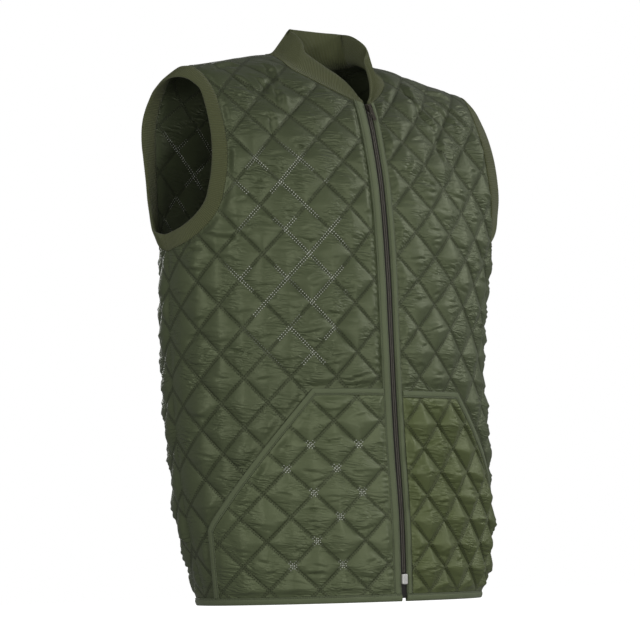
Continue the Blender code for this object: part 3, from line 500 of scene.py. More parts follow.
class Paint:
    """A value in a finish; arithmetic on it adds the Math nodes that work it out."""

    def __init__(self, tree, socket):
        self.tree = tree
        self.socket = socket

    def node(self, kind, settings, sockets, out=0):
        """Any other node: its settings first, then the values or links of its sockets."""
        made = self.tree.nodes.new(kind)
        for key, value in settings.items():
            setattr(made, key, value)
        for key, value in sockets.items():
            if isinstance(value, Paint):
                self.tree.links.new(value.socket, made.inputs[key])
            else:
                made.inputs[key].default_value = value
        return Paint(self.tree, made.outputs[out])

    def math(self, operation, *values):
        return self.node("ShaderNodeMath", {"operation": operation}, dict(enumerate(values)))

    def __add__(self, other):
        return self.math("ADD", self, other)

    def __sub__(self, other):
        return self.math("SUBTRACT", self, other)

    def __rsub__(self, other):
        return self.math("SUBTRACT", other, self)

    def __mul__(self, other):
        return self.math("MULTIPLY", self, other)

    def __truediv__(self, other):
        return self.math("DIVIDE", self, other)

    def __pow__(self, other):
        return self.math("POWER", self, other)

    def __abs__(self):
        return self.math("ABSOLUTE", self)

    __radd__ = __add__
    __rmul__ = __mul__

    def from_line(self):
        """Signed distance to the nearest whole number."""
        return self.math("FRACT", self + 0.5) - 0.5

    def floor(self):
        return self.math("FLOOR", self)

    def wave(self):
        """Sine of this value, brought between 0 and 1."""
        return self.math("SINE", self) * 0.5 + 0.5

    def larger(self, other):
        return self.math("MAXIMUM", self, other)

    def smaller(self, other):
        return self.math("MINIMUM", self, other)

    def step(self, low, high):
        """Smooth step, 0 at low and 1 at high; low may be the larger."""
        return self.node("ShaderNodeMapRange", {"interpolation_type": "SMOOTHSTEP"},
                         {"Value": self, "From Min": low, "From Max": high})

    def blend(self, first, second):
        """Colour between two others by this share."""
        return self.node("ShaderNodeMix", {"data_type": "RGBA"}, {0: self, 6: first, 7: second}, 2)

    def shade(self, colour):
        """Colour darkened by this value."""
        grey = self.node("ShaderNodeCombineColor", {}, {0: self, 1: self, 2: self})
        return self.node("ShaderNodeMix", {"data_type": "RGBA", "blend_type": "MULTIPLY"},
                         {0: 1.0, 6: colour, 7: grey}, 2)

    def vector(self, *parts):
        return self.node("ShaderNodeCombineXYZ", {}, dict(enumerate(parts)))

    def noise(self, place, scale, detail=2.0):
        return self.node("ShaderNodeTexNoise", {}, {"Vector": place, "Scale": scale, "Detail": detail})

    def chance(self, first, second):
        """Even draw from 0 to 1 for each pair of whole numbers."""
        return self.node("ShaderNodeTexWhiteNoise", {"noise_dimensions": "2D"},
                         {"Vector": self.vector(first, second, 0.0)})


def finish_of(name, roughness, **uniform):
    """New material with its even values set: returns it, its shader and the cut places across and up."""
    material = bpy.data.materials.new(name)
    material.use_nodes = True
    shader = material.node_tree.nodes["Principled BSDF"]
    shader.inputs["Roughness"].default_value = roughness
    for key, value in uniform.items():
        shader.inputs[key.replace("_", " ")].default_value = value
    tree = material.node_tree
    start = Paint(tree, None)
    cut = start.node("ShaderNodeAttribute", {"attribute_name": "cut"}, {}, "Vector")
    parts = [start.node("ShaderNodeSeparateXYZ", {}, {0: cut}, k) for k in range(3)]
    return material, shader, cut, parts


def set_look(shader, colour, height, distance, roughness=None):
    """Joins a finish's colour, relief and roughness to its shader."""
    links = height.tree.links
    links.new(colour.socket, shader.inputs["Base Color"])
    bump = height.node("ShaderNodeBump", {}, {"Height": height, "Distance": distance, "Strength": 1.0})
    links.new(bump.socket, shader.inputs["Normal"])
    if roughness is not None:
        links.new(roughness.socket, shader.inputs["Roughness"])


WELD = {"row": 0.0015, "pitch": 0.0033, "dot": 0.00068}
WEAVE_PITCH = 0.00055
# Painted shade towards the shoulders: its share of darkening, and the cut heights where it starts and where
# it is full.
UPPER_PAINTED_SHADE = {"share": 0.30, "from": 0.46, "to": 0.68}
PALE_DOT = (0.80, 0.82, 0.74, 1.0)
SATIN = (0.82, 0.90, 0.58, 1.0)


def quilted_taffeta(name, quilt, colour, pale_zones):
    """Padded taffeta: welded rows of dots, creased silky cloth and the fine cross ribs of its weave, with
    painted shade along the weld grooves and towards the shoulders.
    """
    material, shader, cut, (s, t, inner) = finish_of(name, 0.45, Sheen_Weight=0.06, Sheen_Roughness=0.4,
                                                     Specular_IOR_Level=0.9, Specular_Tint=SATIN)
    side = math.hypot(quilt["across"], quilt["up"]) / 2
    across = (s - quilt["s"]) / quilt["across"]
    up = (t - quilt["t"]) / quilt["up"]
    lines = (across + up, across - up)
    high = quilt["across"] * quilt["up"] / (2 * side)
    dots = None
    pale = None
    groove = None
    for own, other in (lines, lines[::-1]):
        off = abs(own.from_line() * high)
        along = (other * (side / WELD["pitch"])).from_line() * WELD["pitch"]
        gap = ((off - WELD["row"]) ** 2.0 + along * along) ** 0.5
        dot = gap.step(WELD["dot"] * 1.35, WELD["dot"] * 0.65)
        strip = own.chance((own + 0.5).floor(), (other * 2.0).floor())
        bright = dot * strip.step(0.40, 0.60)
        dots = dot if dots is None else dots.larger(dot)
        pale = bright if pale is None else pale.larger(bright)
        groove = off if groove is None else groove.smaller(off)
    zone = s * 0.0
    for at_s, at_t, wide, tall in pale_zones:
        spread = ((s - at_s) / wide) ** 2.0 + ((t - at_t) / tall) ** 2.0
        zone = zone.larger(spread.step(1.0, 0.6) * (pale if wide > 0.02 else dots))
    pale_dots = dots * zone
    patch = s.noise(cut, 38.0, 3.0)
    slub = s.noise(s.vector(s * 60.0, t * 2600.0, inner), 1.0, 1.0)
    weave = (t * (2 * math.pi / WEAVE_PITCH)).wave()
    depth = groove.step(0.0, 0.0036)
    # Painted shade: the cloth is darkened by up to 38% along the weld grooves, fading out 3.6 mm from each
    # line.
    tone = (0.88 + patch * 0.14 + slub * 0.12) * (0.62 + 0.38 * depth) * (1 - 0.50 * dots)
    # Painted shade: the taffeta is darkened by up to 30% towards the shoulders, between cut heights 0.46
    # and 0.68 m.
    tone = tone * (1 - UPPER_PAINTED_SHADE["share"] * t.step(UPPER_PAINTED_SHADE["from"], UPPER_PAINTED_SHADE["to"]))
    look = pale_dots.blend(tone.shade((*colour, 1.0)), PALE_DOT)
    sway = s.noise(cut, 26.0, 1.0)
    folds = s.noise(s.vector(s * 48.0 + sway * 1.5, t * 175.0 + s * 22.0, inner), 1.0, 1.5)
    folded = s.noise(cut, 21.0, 1.0).step(0.40, 0.62)
    fold = abs(folds - 0.5).step(0.16, 0.0) * folded * depth
    crinkle = s.noise(s.vector(s, t * 1.7, inner), 170.0, 2.0)
    height = crinkle * 0.26 - fold * 0.72 + weave * 0.04 - dots * 0.55 + slub * 0.06
    set_look(shader, look, height, 0.0013, 0.38 + 0.14 * patch + 0.12 * (1 - depth))
    return material


SIDES = {"right": -1.0, "left": 1.0}
ZIP_HALF = 0.0042
STRIP_WIDE = {"right": 0.0115, "left": 0.0085}
HEM_TAPE = 0.0095
POCKET = {
    "right": {"top": 0.2662, "corner": 0.1120},
    "left": {"top": 0.2635, "corner": 0.1145},
    "foot_s": 0.2500, "foot_t": 0.1045, "side_s": 0.2565, "turn": 0.010, "lift": 0.0008,
}
TAFFETA = (0.084, 0.103, 0.052)
PALE_ZONES = {"right": ((-0.135, 0.440, 0.085, 0.150), (-0.120, 0.330, 0.050, 0.050)), "left": ()}
CREASES = {
    "right": (
        (-0.1103, 0.7150, -0.1180, 0.6700, 0.004, 0.0046, 0.0034),
        (-0.1180, 0.6790, -0.1290, 0.6540, -0.003, 0.0042, 0.0030),
        (-0.1174, 0.6600, -0.1203, 0.6310, 0.002, 0.0040, 0.0032),
        (-0.1355, 0.6800, -0.1280, 0.6600, 0.002, 0.0034, 0.0030),
        (-0.1390, 0.6260, -0.1384, 0.5900, 0.003, 0.0036, 0.0034),
        (-0.1930, 0.6890, -0.1430, 0.7100, 0.003, 0.0034, 0.0036),
        (-0.1700, 0.6820, -0.1500, 0.6500, 0.003, 0.0030, 0.0036),
        (-0.2420, 0.4615, -0.1990, 0.4560, -0.002, 0.0030, 0.0034),
        (-0.2081, 0.4460, -0.1850, 0.4500, 0.002, 0.0024, 0.0028),
        (-0.2740, 0.4400, -0.2450, 0.4465, 0.002, 0.0026, 0.0030),
        (-0.1870, 0.4580, -0.1400, 0.4595, 0.003, 0.0026, 0.0034),
        (-0.1760, 0.4780, -0.1540, 0.4710, 0.002, 0.0020, 0.0028),
        (-0.2300, 0.4300, -0.2020, 0.4290, 0.003, 0.0018, 0.0030),
        (-0.2750, 0.3300, -0.2400, 0.3350, 0.003, 0.0018, 0.0040),
        (-0.0700, 0.5450, -0.0400, 0.5330, 0.003, 0.0016, 0.0034),
    ),
    "left": (
        (0.0870, 0.7000, 0.0904, 0.6450, -0.004, 0.0042, 0.0038),
        (0.0895, 0.6500, 0.1090, 0.6110, -0.003, 0.0042, 0.0038),
        (0.1134, 0.6040, 0.1100, 0.5650, -0.004, 0.0036, 0.0036),
        (0.1150, 0.6620, 0.1560, 0.6220, 0.003, 0.0034, 0.0040),
        (0.1470, 0.6620, 0.1890, 0.6080, 0.003, 0.0032, 0.0038),
        (0.1250, 0.6850, 0.1750, 0.6700, 0.002, 0.0028, 0.0036),
        (0.2400, 0.4600, 0.2000, 0.4540, -0.002, 0.0028, 0.0034),
        (0.2080, 0.4430, 0.1800, 0.4480, 0.002, 0.0020, 0.0030),
        (0.0500, 0.5750, 0.0300, 0.5400, 0.003, 0.0016, 0.0034),
    ),
}
ARM_GATHER = {"pitch": 0.0068, "reach": 0.012, "deep": 0.0007}
BACK_ARM_GATHER = {"pitch": 0.0080, "reach": 0.012, "deep": 0.0007}
ZIP_GATHER = {"pitch": 0.0085, "reach": 0.011, "deep": 0.0010}
FRONT_PARTS = 21
SEAM_POINTS = 150
HOLE_POINTS = 140
NECK_POINTS = 100
EDGE_STEP = 0.004
HOLE_CLEAR = 0.002
EDGE_CLEAR = 0.003
COVER_MARGIN = 0.0015
SWELL = {"front": 0.0010, "back": 0.0012, "pocket": 0.0006}
INNER_FILL = {"front": 0.25, "back": 0.35}
SUNK = 0.0010
panel_low = HEM_TAPE + GAP
pocket_edge = {}
for word, side in SIDES.items():
    edge = ZIP_HALF + STRIP_WIDE[word] + 2 * GAP
    top = POCKET[word]["top"]
    slant = [(edge, top), (POCKET[word]["corner"], top), (POCKET["foot_s"], POCKET["foot_t"]),
             (POCKET["side_s"], POCKET["foot_t"] - POCKET["turn"]), (POCKET["side_s"], panel_low)]
    pocket_edge[word] = np.array(slant)
    covered = np.concatenate([pocket_edge[word] + COVER_MARGIN, [(0.0, panel_low), (0.0, top)]])
    covered = covered * (side, 1.0)
    rise = np.linspace(panel_low, ARMPIT_T, SEAM_POINTS)
    seam = np.stack([side * (side_s(rise, False) - GAP / 2), rise], axis=1)
    hole = armhole(side, False, HOLE_POINTS)
    hole[0] = seam[-1]
    throat = neck(side, False, NECK_POINTS)
    throat = throat[throat[:, 0] * side > edge]
    lead = np.array([[side * edge, np.interp(edge, throat[:, 0] * side, throat[:, 1])]])
    hole[-1, 1] -= GAP / 2
    throat[-1, 1] -= GAP / 2
    hem = straight([(side * edge, panel_low), seam[0]], EDGE_STEP)
    front = straight([lead[0], (side * edge, panel_low)], EDGE_STEP)
    loop = np.concatenate([hem, seam[1:], hole[1:], shoulder_seam(side, False), throat[::-1], front[:-1]])
    name = "front_" + word
    corners = (hem[0], hem[-1], hole[0], hole[-1], throat[-1], lead[0])
    grid = diamond_grid(loop, corners, QUILT[name], FRONT_PARTS)
    flat = grid[0]
    seed = 11 if side < 0 else 23
    clear = beside(flat, closed(loop))[0]
    fade = ease(clear / SEAM_FADE)
    for line, near in ((seam, SIDE_FLAT), (shoulder_seam(side, False), SHOULDER_FLAT)):
        fade *= 1 - near["share"] * (1 - ease(beside(flat, line)[0] / near["reach"]))
    under = np.where(within(flat, covered), 0.0, ease(beside(flat, closed(covered))[0] / SEAM_FADE))
    by_hole = beside(flat, hole)[:2]
    loose = swell(flat, seed + 1, SWELL["front"]) + pads(flat, QUILT[name], seed)
    tight = gathers(*by_hole, **ARM_GATHER, seed=seed) * ease(by_hole[0] / HOLE_CLEAR)
    tight += gathers(flat[:, 0] * side - edge, flat[:, 1], **ZIP_GATHER, seed=seed + 2)
    tight += creases(flat, CREASES[word])
    high = np.maximum((loose * fade + tight * ease(clear / EDGE_CLEAR)) * under, -SUNK)
    low = -WALL - INNER_FILL["front"] * np.maximum(pads(flat, QUILT[name], seed + 5), 0.0) * fade * under
    finish = quilted_taffeta(name + "_taffeta", QUILT[name], TAFFETA, PALE_ZONES[word])
    panel = padded_panel(name + "_panel", grid, False, low, high, finish)
    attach(panel, "garment")
    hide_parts(name)

# Back panel
# One piece of the same quilted taffeta, cut with both armholes and a shallow neck.
# It is sewn to the fronts along the side and shoulder seams, and its inside shows through the neck.

BACK_CREASES = (
    (-0.1500, 0.6400, -0.0900, 0.6650, 0.003, 0.0024, 0.0040),
    (0.1450, 0.6350, 0.0950, 0.6600, -0.003, 0.0024, 0.0040),
    (-0.2100, 0.4500, -0.1500, 0.4580, 0.003, 0.0026, 0.0038),
    (0.2050, 0.4480, 0.1560, 0.4600, -0.003, 0.0024, 0.0038),
    (-0.0600, 0.5900, 0.0300, 0.6000, 0.004, 0.0016, 0.0045),
    (0.0800, 0.5200, 0.0300, 0.5300, 0.003, 0.0014, 0.0040),
    (-0.1900, 0.2000, -0.1200, 0.1850, 0.004, 0.0018, 0.0050),
    (0.1700, 0.2300, 0.1100, 0.2120, 0.004, 0.0018, 0.0050),
    (-0.0400, 0.0900, 0.0500, 0.0850, 0.003, 0.0014, 0.0045),
)
BACK_PALE_ZONES = ((-0.16, 0.53, 0.08, 0.10),)
BACK_PARTS = 15
half = {}
rise = np.linspace(panel_low, ARMPIT_T, SEAM_POINTS)
for word, side in SIDES.items():
    seam = np.stack([side * (side_s(rise, True) - GAP / 2), rise], axis=1)
    hole = armhole(side, True, HOLE_POINTS)
    hole[0] = seam[-1]
    hole[-1, 1] -= GAP / 2
    throat = neck(side, True, 60)
    throat[-1, 1] -= GAP / 2
    half[word] = (np.concatenate([seam, hole[1:], shoulder_seam(side, True), throat[::-1]]), hole,
                  (seam[0], hole[0], hole[-1], throat[-1]))
hem = straight([half["right"][0][0], half["left"][0][0]], EDGE_STEP)
loop = np.concatenate([hem, half["left"][0][1:], half["right"][0][::-1][1:-1]])
grid = diamond_grid(loop, half["left"][2] + half["right"][2], QUILT["back"], BACK_PARTS)
flat = grid[0]
fade = ease(beside(flat, closed(loop))[0] / SEAM_FADE)
loose = swell(flat, 41, SWELL["back"]) + creases(flat, BACK_CREASES) + pads(flat, QUILT["back"], 37)
tight = np.zeros(len(flat))
for word in SIDES:
    by_hole = beside(flat, half[word][1])[:2]
    tight += gathers(*by_hole, **BACK_ARM_GATHER, seed=43) * ease(by_hole[0] / EDGE_CLEAR)
    by_seam = beside(flat, shoulder_seam(SIDES[word], True))[0]
    fade *= 1 - SHOULDER_FLAT["share"] * (1 - ease(by_seam / SHOULDER_FLAT["reach"]))
high = np.maximum(loose * fade + tight, -SUNK)
low = -WALL - INNER_FILL["back"] * np.maximum(pads(flat, QUILT["back"], 45), 0.0) * fade
finish = quilted_taffeta("back_taffeta", QUILT["back"], TAFFETA, BACK_PALE_ZONES)
back_panel = padded_panel("back_panel", grid, True, low, high, finish)
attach(back_panel, "garment")
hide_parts("back")

# Patch pockets
# A quilted piece laid on each front from the zip strip to near the side seam, open along its slant.
# Its welded diamonds don't meet those of the panel below, and its cloth is a little greener.

POCKET_TAPE = 0.0080
PALE_CROSSINGS = {
    "right": ((0, 6), (-2, 6), (-1, 5), (-3, 5), (-2, 4), (0, 4), (-1, 3), (-2, 2), (-3, 1), (-1, 1)),
    "left": (),
}
PALE_REACH = 0.0075
POCKET_PARTS = 24
POCKET_SUNK = 0.0008
POCKET_CLOTH = {"right": (0.102, 0.125, 0.062), "left": (0.098, 0.121, 0.044)}


def aside(path, width):
    """Path moved sideways to its left by width, with mitred corners."""
    ahead = unit(np.diff(path, axis=0))
    left = np.stack([-ahead[:, 1], ahead[:, 0]], axis=1)
    first = np.concatenate([left[:1], left])
    second = np.concatenate([left, left[-1:]])
    mitre = first + second
    mitre = mitre / (1 + (first * second).sum(axis=1, keepdims=True))
    return path + mitre * width


for word, side in SIDES.items():
    name = "pocket_" + word
    outer = straight(pocket_edge[word], EDGE_STEP)
    field = aside(outer, -POCKET_TAPE - GAP)
    field[0, 0] = outer[0, 0]
    field[-1, 1] = outer[-1, 1]
    foot = (field[0, 0], panel_low)
    hem = straight([field[-1], foot], EDGE_STEP)
    front = straight([foot, field[0]], EDGE_STEP)
    loop = np.concatenate([field, hem[1:], front[1:-1]]) * (side, 1.0)
    corners = np.array([field[0], field[-1], foot]) * (side, 1.0)
    quilt = QUILT[name]
    grid = diamond_grid(loop, corners, quilt, POCKET_PARTS)
    flat = grid[0]
    seed = 61 if side < 0 else 67
    clear = beside(flat, closed(loop))[0]
    loose = swell(flat, seed + 1, SWELL["pocket"]) + pads(flat, quilt, seed)
    loose *= 1 - SIDE_FLAT["share"] * (1 - ease((field[-1, 0] - flat[:, 0] * side) / SIDE_FLAT["reach"]))
    tight = gathers(flat[:, 0] * side - field[0, 0], flat[:, 1], **ZIP_GATHER, seed=seed + 2)
    relief = loose * ease(clear / SEAM_FADE) + tight * ease(clear / EDGE_CLEAR)
    high = POCKET["lift"] + WALL + np.maximum(relief, -POCKET_SUNK)
    spots = []
    for across, up in PALE_CROSSINGS[word]:
        spot = (quilt["s"] + across * quilt["across"] / 2, quilt["t"] + up * quilt["up"] / 2)
        spots.append((*spot, PALE_REACH, PALE_REACH))
    finish = quilted_taffeta(name + "_taffeta", quilt, POCKET_CLOTH[word], spots)
    pocket = padded_panel(name + "_patch", grid, False, np.full(len(flat), POCKET["lift"]), high, finish)
    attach(pocket, "garment")
    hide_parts(name)

# Pocket tapes, front strips and hem binding
# Woven tape folded over the raw edges and stitched down: round the pocket's open edges, along both
# front edges beside the zip, and over the hem. Its fine ribs run across it.

TAPE_CLOTH = (0.150, 0.182, 0.090)
TAPE_OUT = 0.0036
STRIP_OUT = 0.0030
STRIP_SHORT = 0.0010
HEM_OUT = {"front": 0.0032, "back": 0.0024}
HEM_IN = 0.0028
TAPE_STEP = 0.003
TAPE_RIB = 0.0011
STITCH_PITCH = 0.0030
TAPE_WAVE = 0.00012


def woven_tape(name, colour, wide, seams):
    """Grosgrain tape with fine cross ribs, painted shade along its rolled edges and the dark pits of its
    stitch lines.
    """
    material, shader, cut, (run, across, _) = finish_of(name, 0.72, Sheen_Weight=0.15)
    ribs = (run * (2 * math.pi / TAPE_RIB)).wave()
    patch = run.noise(cut, 60.0, 3.0)
    pits = None
    for share in seams:
        off = abs(across - share * wide)
        line = off.step(0.0009, 0.0002)
        stitch = abs((run / STITCH_PITCH).from_line()).step(0.34, 0.46)
        pit = line * (0.35 + 0.65 * stitch)
        pits = pit if pits is None else pits.larger(pit)
    edge = across.smaller(wide - across).step(0.0, 0.0010)
    # Painted shade: the tape is darkened by up to 22% within 1 mm of either rolled edge.
    tone = (0.86 + 0.20 * patch) * (0.90 + 0.10 * ribs) * (0.78 + 0.22 * edge) * (1 - 0.58 * pits)
    height = ribs * 0.22 + patch * 0.25 - pits * 0.9
    set_look(shader, tone.shade((*colour, 1.0)), height, 0.0007)
    return material


def sweep(name, rings, places, whole, finish):
    """Closed solid through a row of cross-sections, with the run and the place across kept."""
    count, size = rings.shape[:2]
    faces = []
    for i in range(count if whole else count - 1):
        j = (i + 1) % count
        for a in range(size):
            b = (a + 1) % size
            faces.append((i * size + a, j * size + a, j * size + b, i * size + b))
    if not whole:
        faces.append(tuple(range(size)))
        faces.append(tuple((count - 1) * size + a for a in range(size)))
    return cloth_piece(name, rings.reshape(-1, 3), faces, places.reshape(-1, 3), finish, 70.0)


def tape_places(run, across):
    """Places kept for the finish of one line along a tape."""
    return np.stack(np.broadcast_arrays(run, across, 0.0), axis=1)


def tape_piece(name, edge, far, inner, outer, back, seams, seed):
    """Folded tape between two lines of the cut: rolled edges, sunk stitch lines and a slight wave."""
    shares = np.array([0.0, 0.05, 0.14, 0.24, 0.36, 0.5, 0.64, 0.76, 0.86, 0.95, 1.0])
    full = 0.72 + 0.28 * np.sin(math.pi * np.clip(shares, 0.0, 1.0)) ** 0.5
    for share in seams:
        full = full - 0.16 * np.exp(-((shares - share) / 0.06) ** 2)
    run = running(edge)
    wide = float(np.median(np.hypot(*(far - edge).T)))
    draw = np.random.default_rng(seed)
    wave = sum(np.sin(run / draw.uniform(0.010, 0.035) + draw.uniform(0, 6)) for k in range(4)) * TAPE_WAVE
    rows = []
    places = []
    for share, height in [*zip(shares, full), (1.0, 0.0), (0.5, 0.0), (0.0, 0.0)]:
        place, face = worn(edge + (far - edge) * share, back)
        lift = inner + (outer - inner) * height + (wave if height else 0.0)
        rows.append(place + face * np.broadcast_to(lift, run.shape)[:, None])
        places.append(tape_places(run, share * wide))
    finish = woven_tape(name + "_weave", TAPE_CLOTH, wide, seams)
    tape = sweep(name, np.stack(rows, axis=1), np.stack(places, axis=1), False, finish)
    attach(tape, "garment")
    return tape


def upright(s, foot, top):
    """Line up the cut at s, from foot to top."""
    return straight([(s, foot), (s, top)], TAPE_STEP)


for k, (word, side) in enumerate(SIDES.items()):
    flip = np.array([side, 1.0])
    outer = straight(pocket_edge[word], TAPE_STEP)
    inner = aside(outer, -POCKET_TAPE)
    inner[0, 0] = outer[0, 0]
    inner[-1, 1] = outer[-1, 1]
    tape = tape_piece("pocket_edging_" + word, outer * flip, inner * flip, POCKET["lift"], TAPE_OUT, False,
                      (0.80,), 71 + k)
    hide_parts("pocket_tape_" + word)
    near = ZIP_HALF + GAP
    far = near + STRIP_WIDE[word]
    throat = neck(side, False, NECK_POINTS)
    tops = [float(np.interp(s, throat[:, 0] * side, throat[:, 1])) - STRIP_SHORT for s in (near, far)]
    line = upright(side * near, panel_low, tops[0])
    climb = (line[:, 1] - panel_low) * (tops[1] - panel_low) / (tops[0] - panel_low)
    other = np.stack([np.full(len(line), side * far), panel_low + climb], axis=1)
    strip = tape_piece("zip_strip_" + word, line, other, -WALL, STRIP_OUT, False, (0.16, 0.84), 75 + k)
    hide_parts("front_strip_" + word)
    s = np.linspace(near, float(side_s(0.0, False)) - GAP / 2, 110)
    stretch = (side_s(HEM_TAPE, False) - GAP / 2) / s[-1]
    foot = np.stack([side * s, np.zeros(len(s))], axis=1)
    head = np.stack([side * (s[0] + (s - s[0]) * stretch), np.full(len(s), HEM_TAPE)], axis=1)
    binding = tape_piece("hem_edging_" + word, foot, head, -HEM_IN, HEM_OUT["front"], False, (0.82,),
                         79 + k)
    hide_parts("hem_binding_front_" + word)
s = np.linspace(-1.0, 1.0, 220)
foot = np.stack([s * (side_s(0.0, True) - GAP / 2), np.zeros(len(s))], axis=1)
head = np.stack([s * (side_s(HEM_TAPE, True) - GAP / 2), np.full(len(s), HEM_TAPE)], axis=1)
binding = tape_piece("hem_edging_back", foot, head, -HEM_IN, HEM_OUT["back"], True, (0.82,), 83)
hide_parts("hem_binding_back")

# Armhole bands
# Rib knit folded double and sewn round each armhole, its ribs running square to the seam.
# The band draws in a little at its folded edge.

BAND_WIDE = 0.0220
BAND_SHARES = (0.012, 0.06, 0.16, 0.3, 0.5, 0.7, 0.85, 0.95, 1.0)
BAND_OUT = 0.0016
BAND_IN = 0.0024
ARM_POINTS = 26
RIB_PITCH = 0.0023
RIB_HIGH = 0.00022
RIB_CLOTH = (0.122, 0.136, 0.052)


def rib_knit(name):
    """Rib knit: raised wales with painted shade in the furrows between them and small loops along each."""
    material, shader, cut, (run, across, _) = finish_of(name, 0.88, Sheen_Weight=0.2)
    wale = (run * (2 * math.pi / RIB_PITCH)).wave()
    loops = (across * (2 * math.pi / 0.0012) + abs((run / RIB_PITCH).from_line()) * 5.0).wave()
    patch = run.noise(cut, 45.0, 3.0)
    fuzz = run.noise(cut, 900.0, 2.0)
    # Painted shade: the knit is darkened by up to 26% in the furrows between the wales.
    tone = (0.86 + 0.16 * patch + 0.12 * fuzz) * (0.74 + 0.26 * wale) * (0.90 + 0.10 * loops)
    height = wale * 0.5 + loops * 0.25 * wale + fuzz * 0.2
    set_look(shader, tone.shade((*RIB_CLOTH, 1.0)), height, 0.0006)
    return material


def finer(rows, whole, spacing):
    """More cross-sections along a band, on smooth curves through those given; also their run."""
    if whole:
        rows = np.concatenate([rows[-3:], rows, rows[:4]])
    run = running(rows.mean(axis=1))
    first, last = (run[3], run[-4]) if whole else (run[0], run[-1])
    count = int(round((last - first) / spacing))
    at = np.linspace(first, last, count, endpoint=not whole)
    flat = rows.reshape(len(rows), -1)
    fine = np.stack([through(at, run, flat[:, k]) for k in range(flat.shape[1])], axis=1)
    return fine.reshape(len(at), -1, 3), at - first


def ribbed(outer, inner, whole, name, wide):
    """Band between outer and inner rows, raised in ribs on both faces."""
    size = outer.shape[1]
    rows, run = finer(np.concatenate([outer, inner], axis=1), whole, RIB_PITCH / 4)
    length = run[-1] + (run[1] if whole else 0.0)
    turns = max(1, round(length / RIB_PITCH))
    run = run * turns * RIB_PITCH / length
    outer = rows[:, :size]
    inner = rows[:, size:]
    out = unit(outer - inner)
    wale = RIB_HIGH * np.sin(2 * math.pi * run / RIB_PITCH)[:, None, None]
    rings = np.concatenate([outer + out * wale, (inner - out * wale)[:, ::-1]], axis=1)
    share = np.linspace(0.0, wide, size)
    share = np.concatenate([share, share[::-1]])
    places = np.stack(np.broadcast_arrays(run[:, None], share[None], 0.0), axis=-1)
    band = sweep(name, rings, places, whole, rib_knit(name + "_knit"))
    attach(band, "garment")
    return band


for word, side in SIDES.items():
    halves = []
    for back in (False, True):
        path = armhole(side, back, ARM_POINTS)
        away = unit(np.gradient(path, axis=0))
        away = np.stack([away[:, 1], -away[:, 0]], axis=1) * side
        away[0] = (0.0, 1.0)
        away[-1] = (side, 0.0)
        outer = []
        inner = []
        for share in BAND_SHARES:
            line = path + away * BAND_WIDE * share
            line[-1, 1] = top_t(line[-1:, 0], back)[0]
            place, face = worn(line, back)
            full = 0.35 + 0.65 * min(1.0, math.sin(math.pi * share) * 2.2) ** 0.6
            middle = 0.5 * (BAND_OUT - BAND_IN)
            half_thick = 0.5 * (BAND_OUT + BAND_IN) * full
            outer.append(place + face * (middle + half_thick))
            inner.append(place + face * (middle - half_thick))
        halves.append((np.stack(outer, axis=1), np.stack(inner, axis=1)))
    rows = []
    for front_half, back_half in zip(*halves):
        join_top = 0.5 * (front_half[-1:] + back_half[-1:])
        join_low = 0.5 * (front_half[:1] + back_half[:1])
        ring = np.concatenate([join_low, front_half[1:-1], join_top, back_half[1:-1][::-1]])
        top = slice(ARM_POINTS - 4, ARM_POINTS + 3)
        for k in range(4):
            smooth = 0.5 * (np.roll(ring, 1, axis=0) + np.roll(ring, -1, axis=0))
            ring[top] += 0.6 * np.array(BAND_SHARES)[:, None] * (smooth - ring)[top]
        rows.append(ring)
    band = ribbed(rows[0], rows[1], True, "armhole_rib_" + word, BAND_WIDE)
    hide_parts("armhole_band_" + word)

# Collar
# A rib-knit band sewn round the neck, tall at the back and tapering to the zip at both front ends.
# It leaves the seam in line with the cloth, then stands up and leans in towards the neck.

COLLAR = {
    "share": (0.0, 0.05, 0.12, 0.22, 0.36, 0.52, 0.68, 0.84, 1.0),
    "right": {
        "height": (0.0045, 0.0177, 0.0282, 0.0344, 0.0401, 0.0459, 0.0501, 0.0499, 0.0494),
        "lean_deg": (23.7, 20.6, 23.2, 30.1, 34.2, 36.5, 36.4, 26.1, 15.5),
    },
    "left": {
        "height": (0.0045, 0.0178, 0.0328, 0.0457, 0.0486, 0.0485, 0.0485, 0.0502, 0.0494),
        "lean_deg": (-6.0, 0.4, 13.3, 22.7, 14.7, 12.2, 16.2, 16.9, 15.5),
    },
}
COLLAR_THICK = 0.0032
COLLAR_TURN = 0.42
COLLAR_STEPS = 50
COLLAR_STEADY = 0.018
COLLAR_ROWS = (0, 3, 6, 10, 14, 18, 22, 28, 34, 40, 45, 47, 49, 50)
COLLAR_TO_AXIS = 0.4
NECK_AXIS_Y = -0.028
halves = []
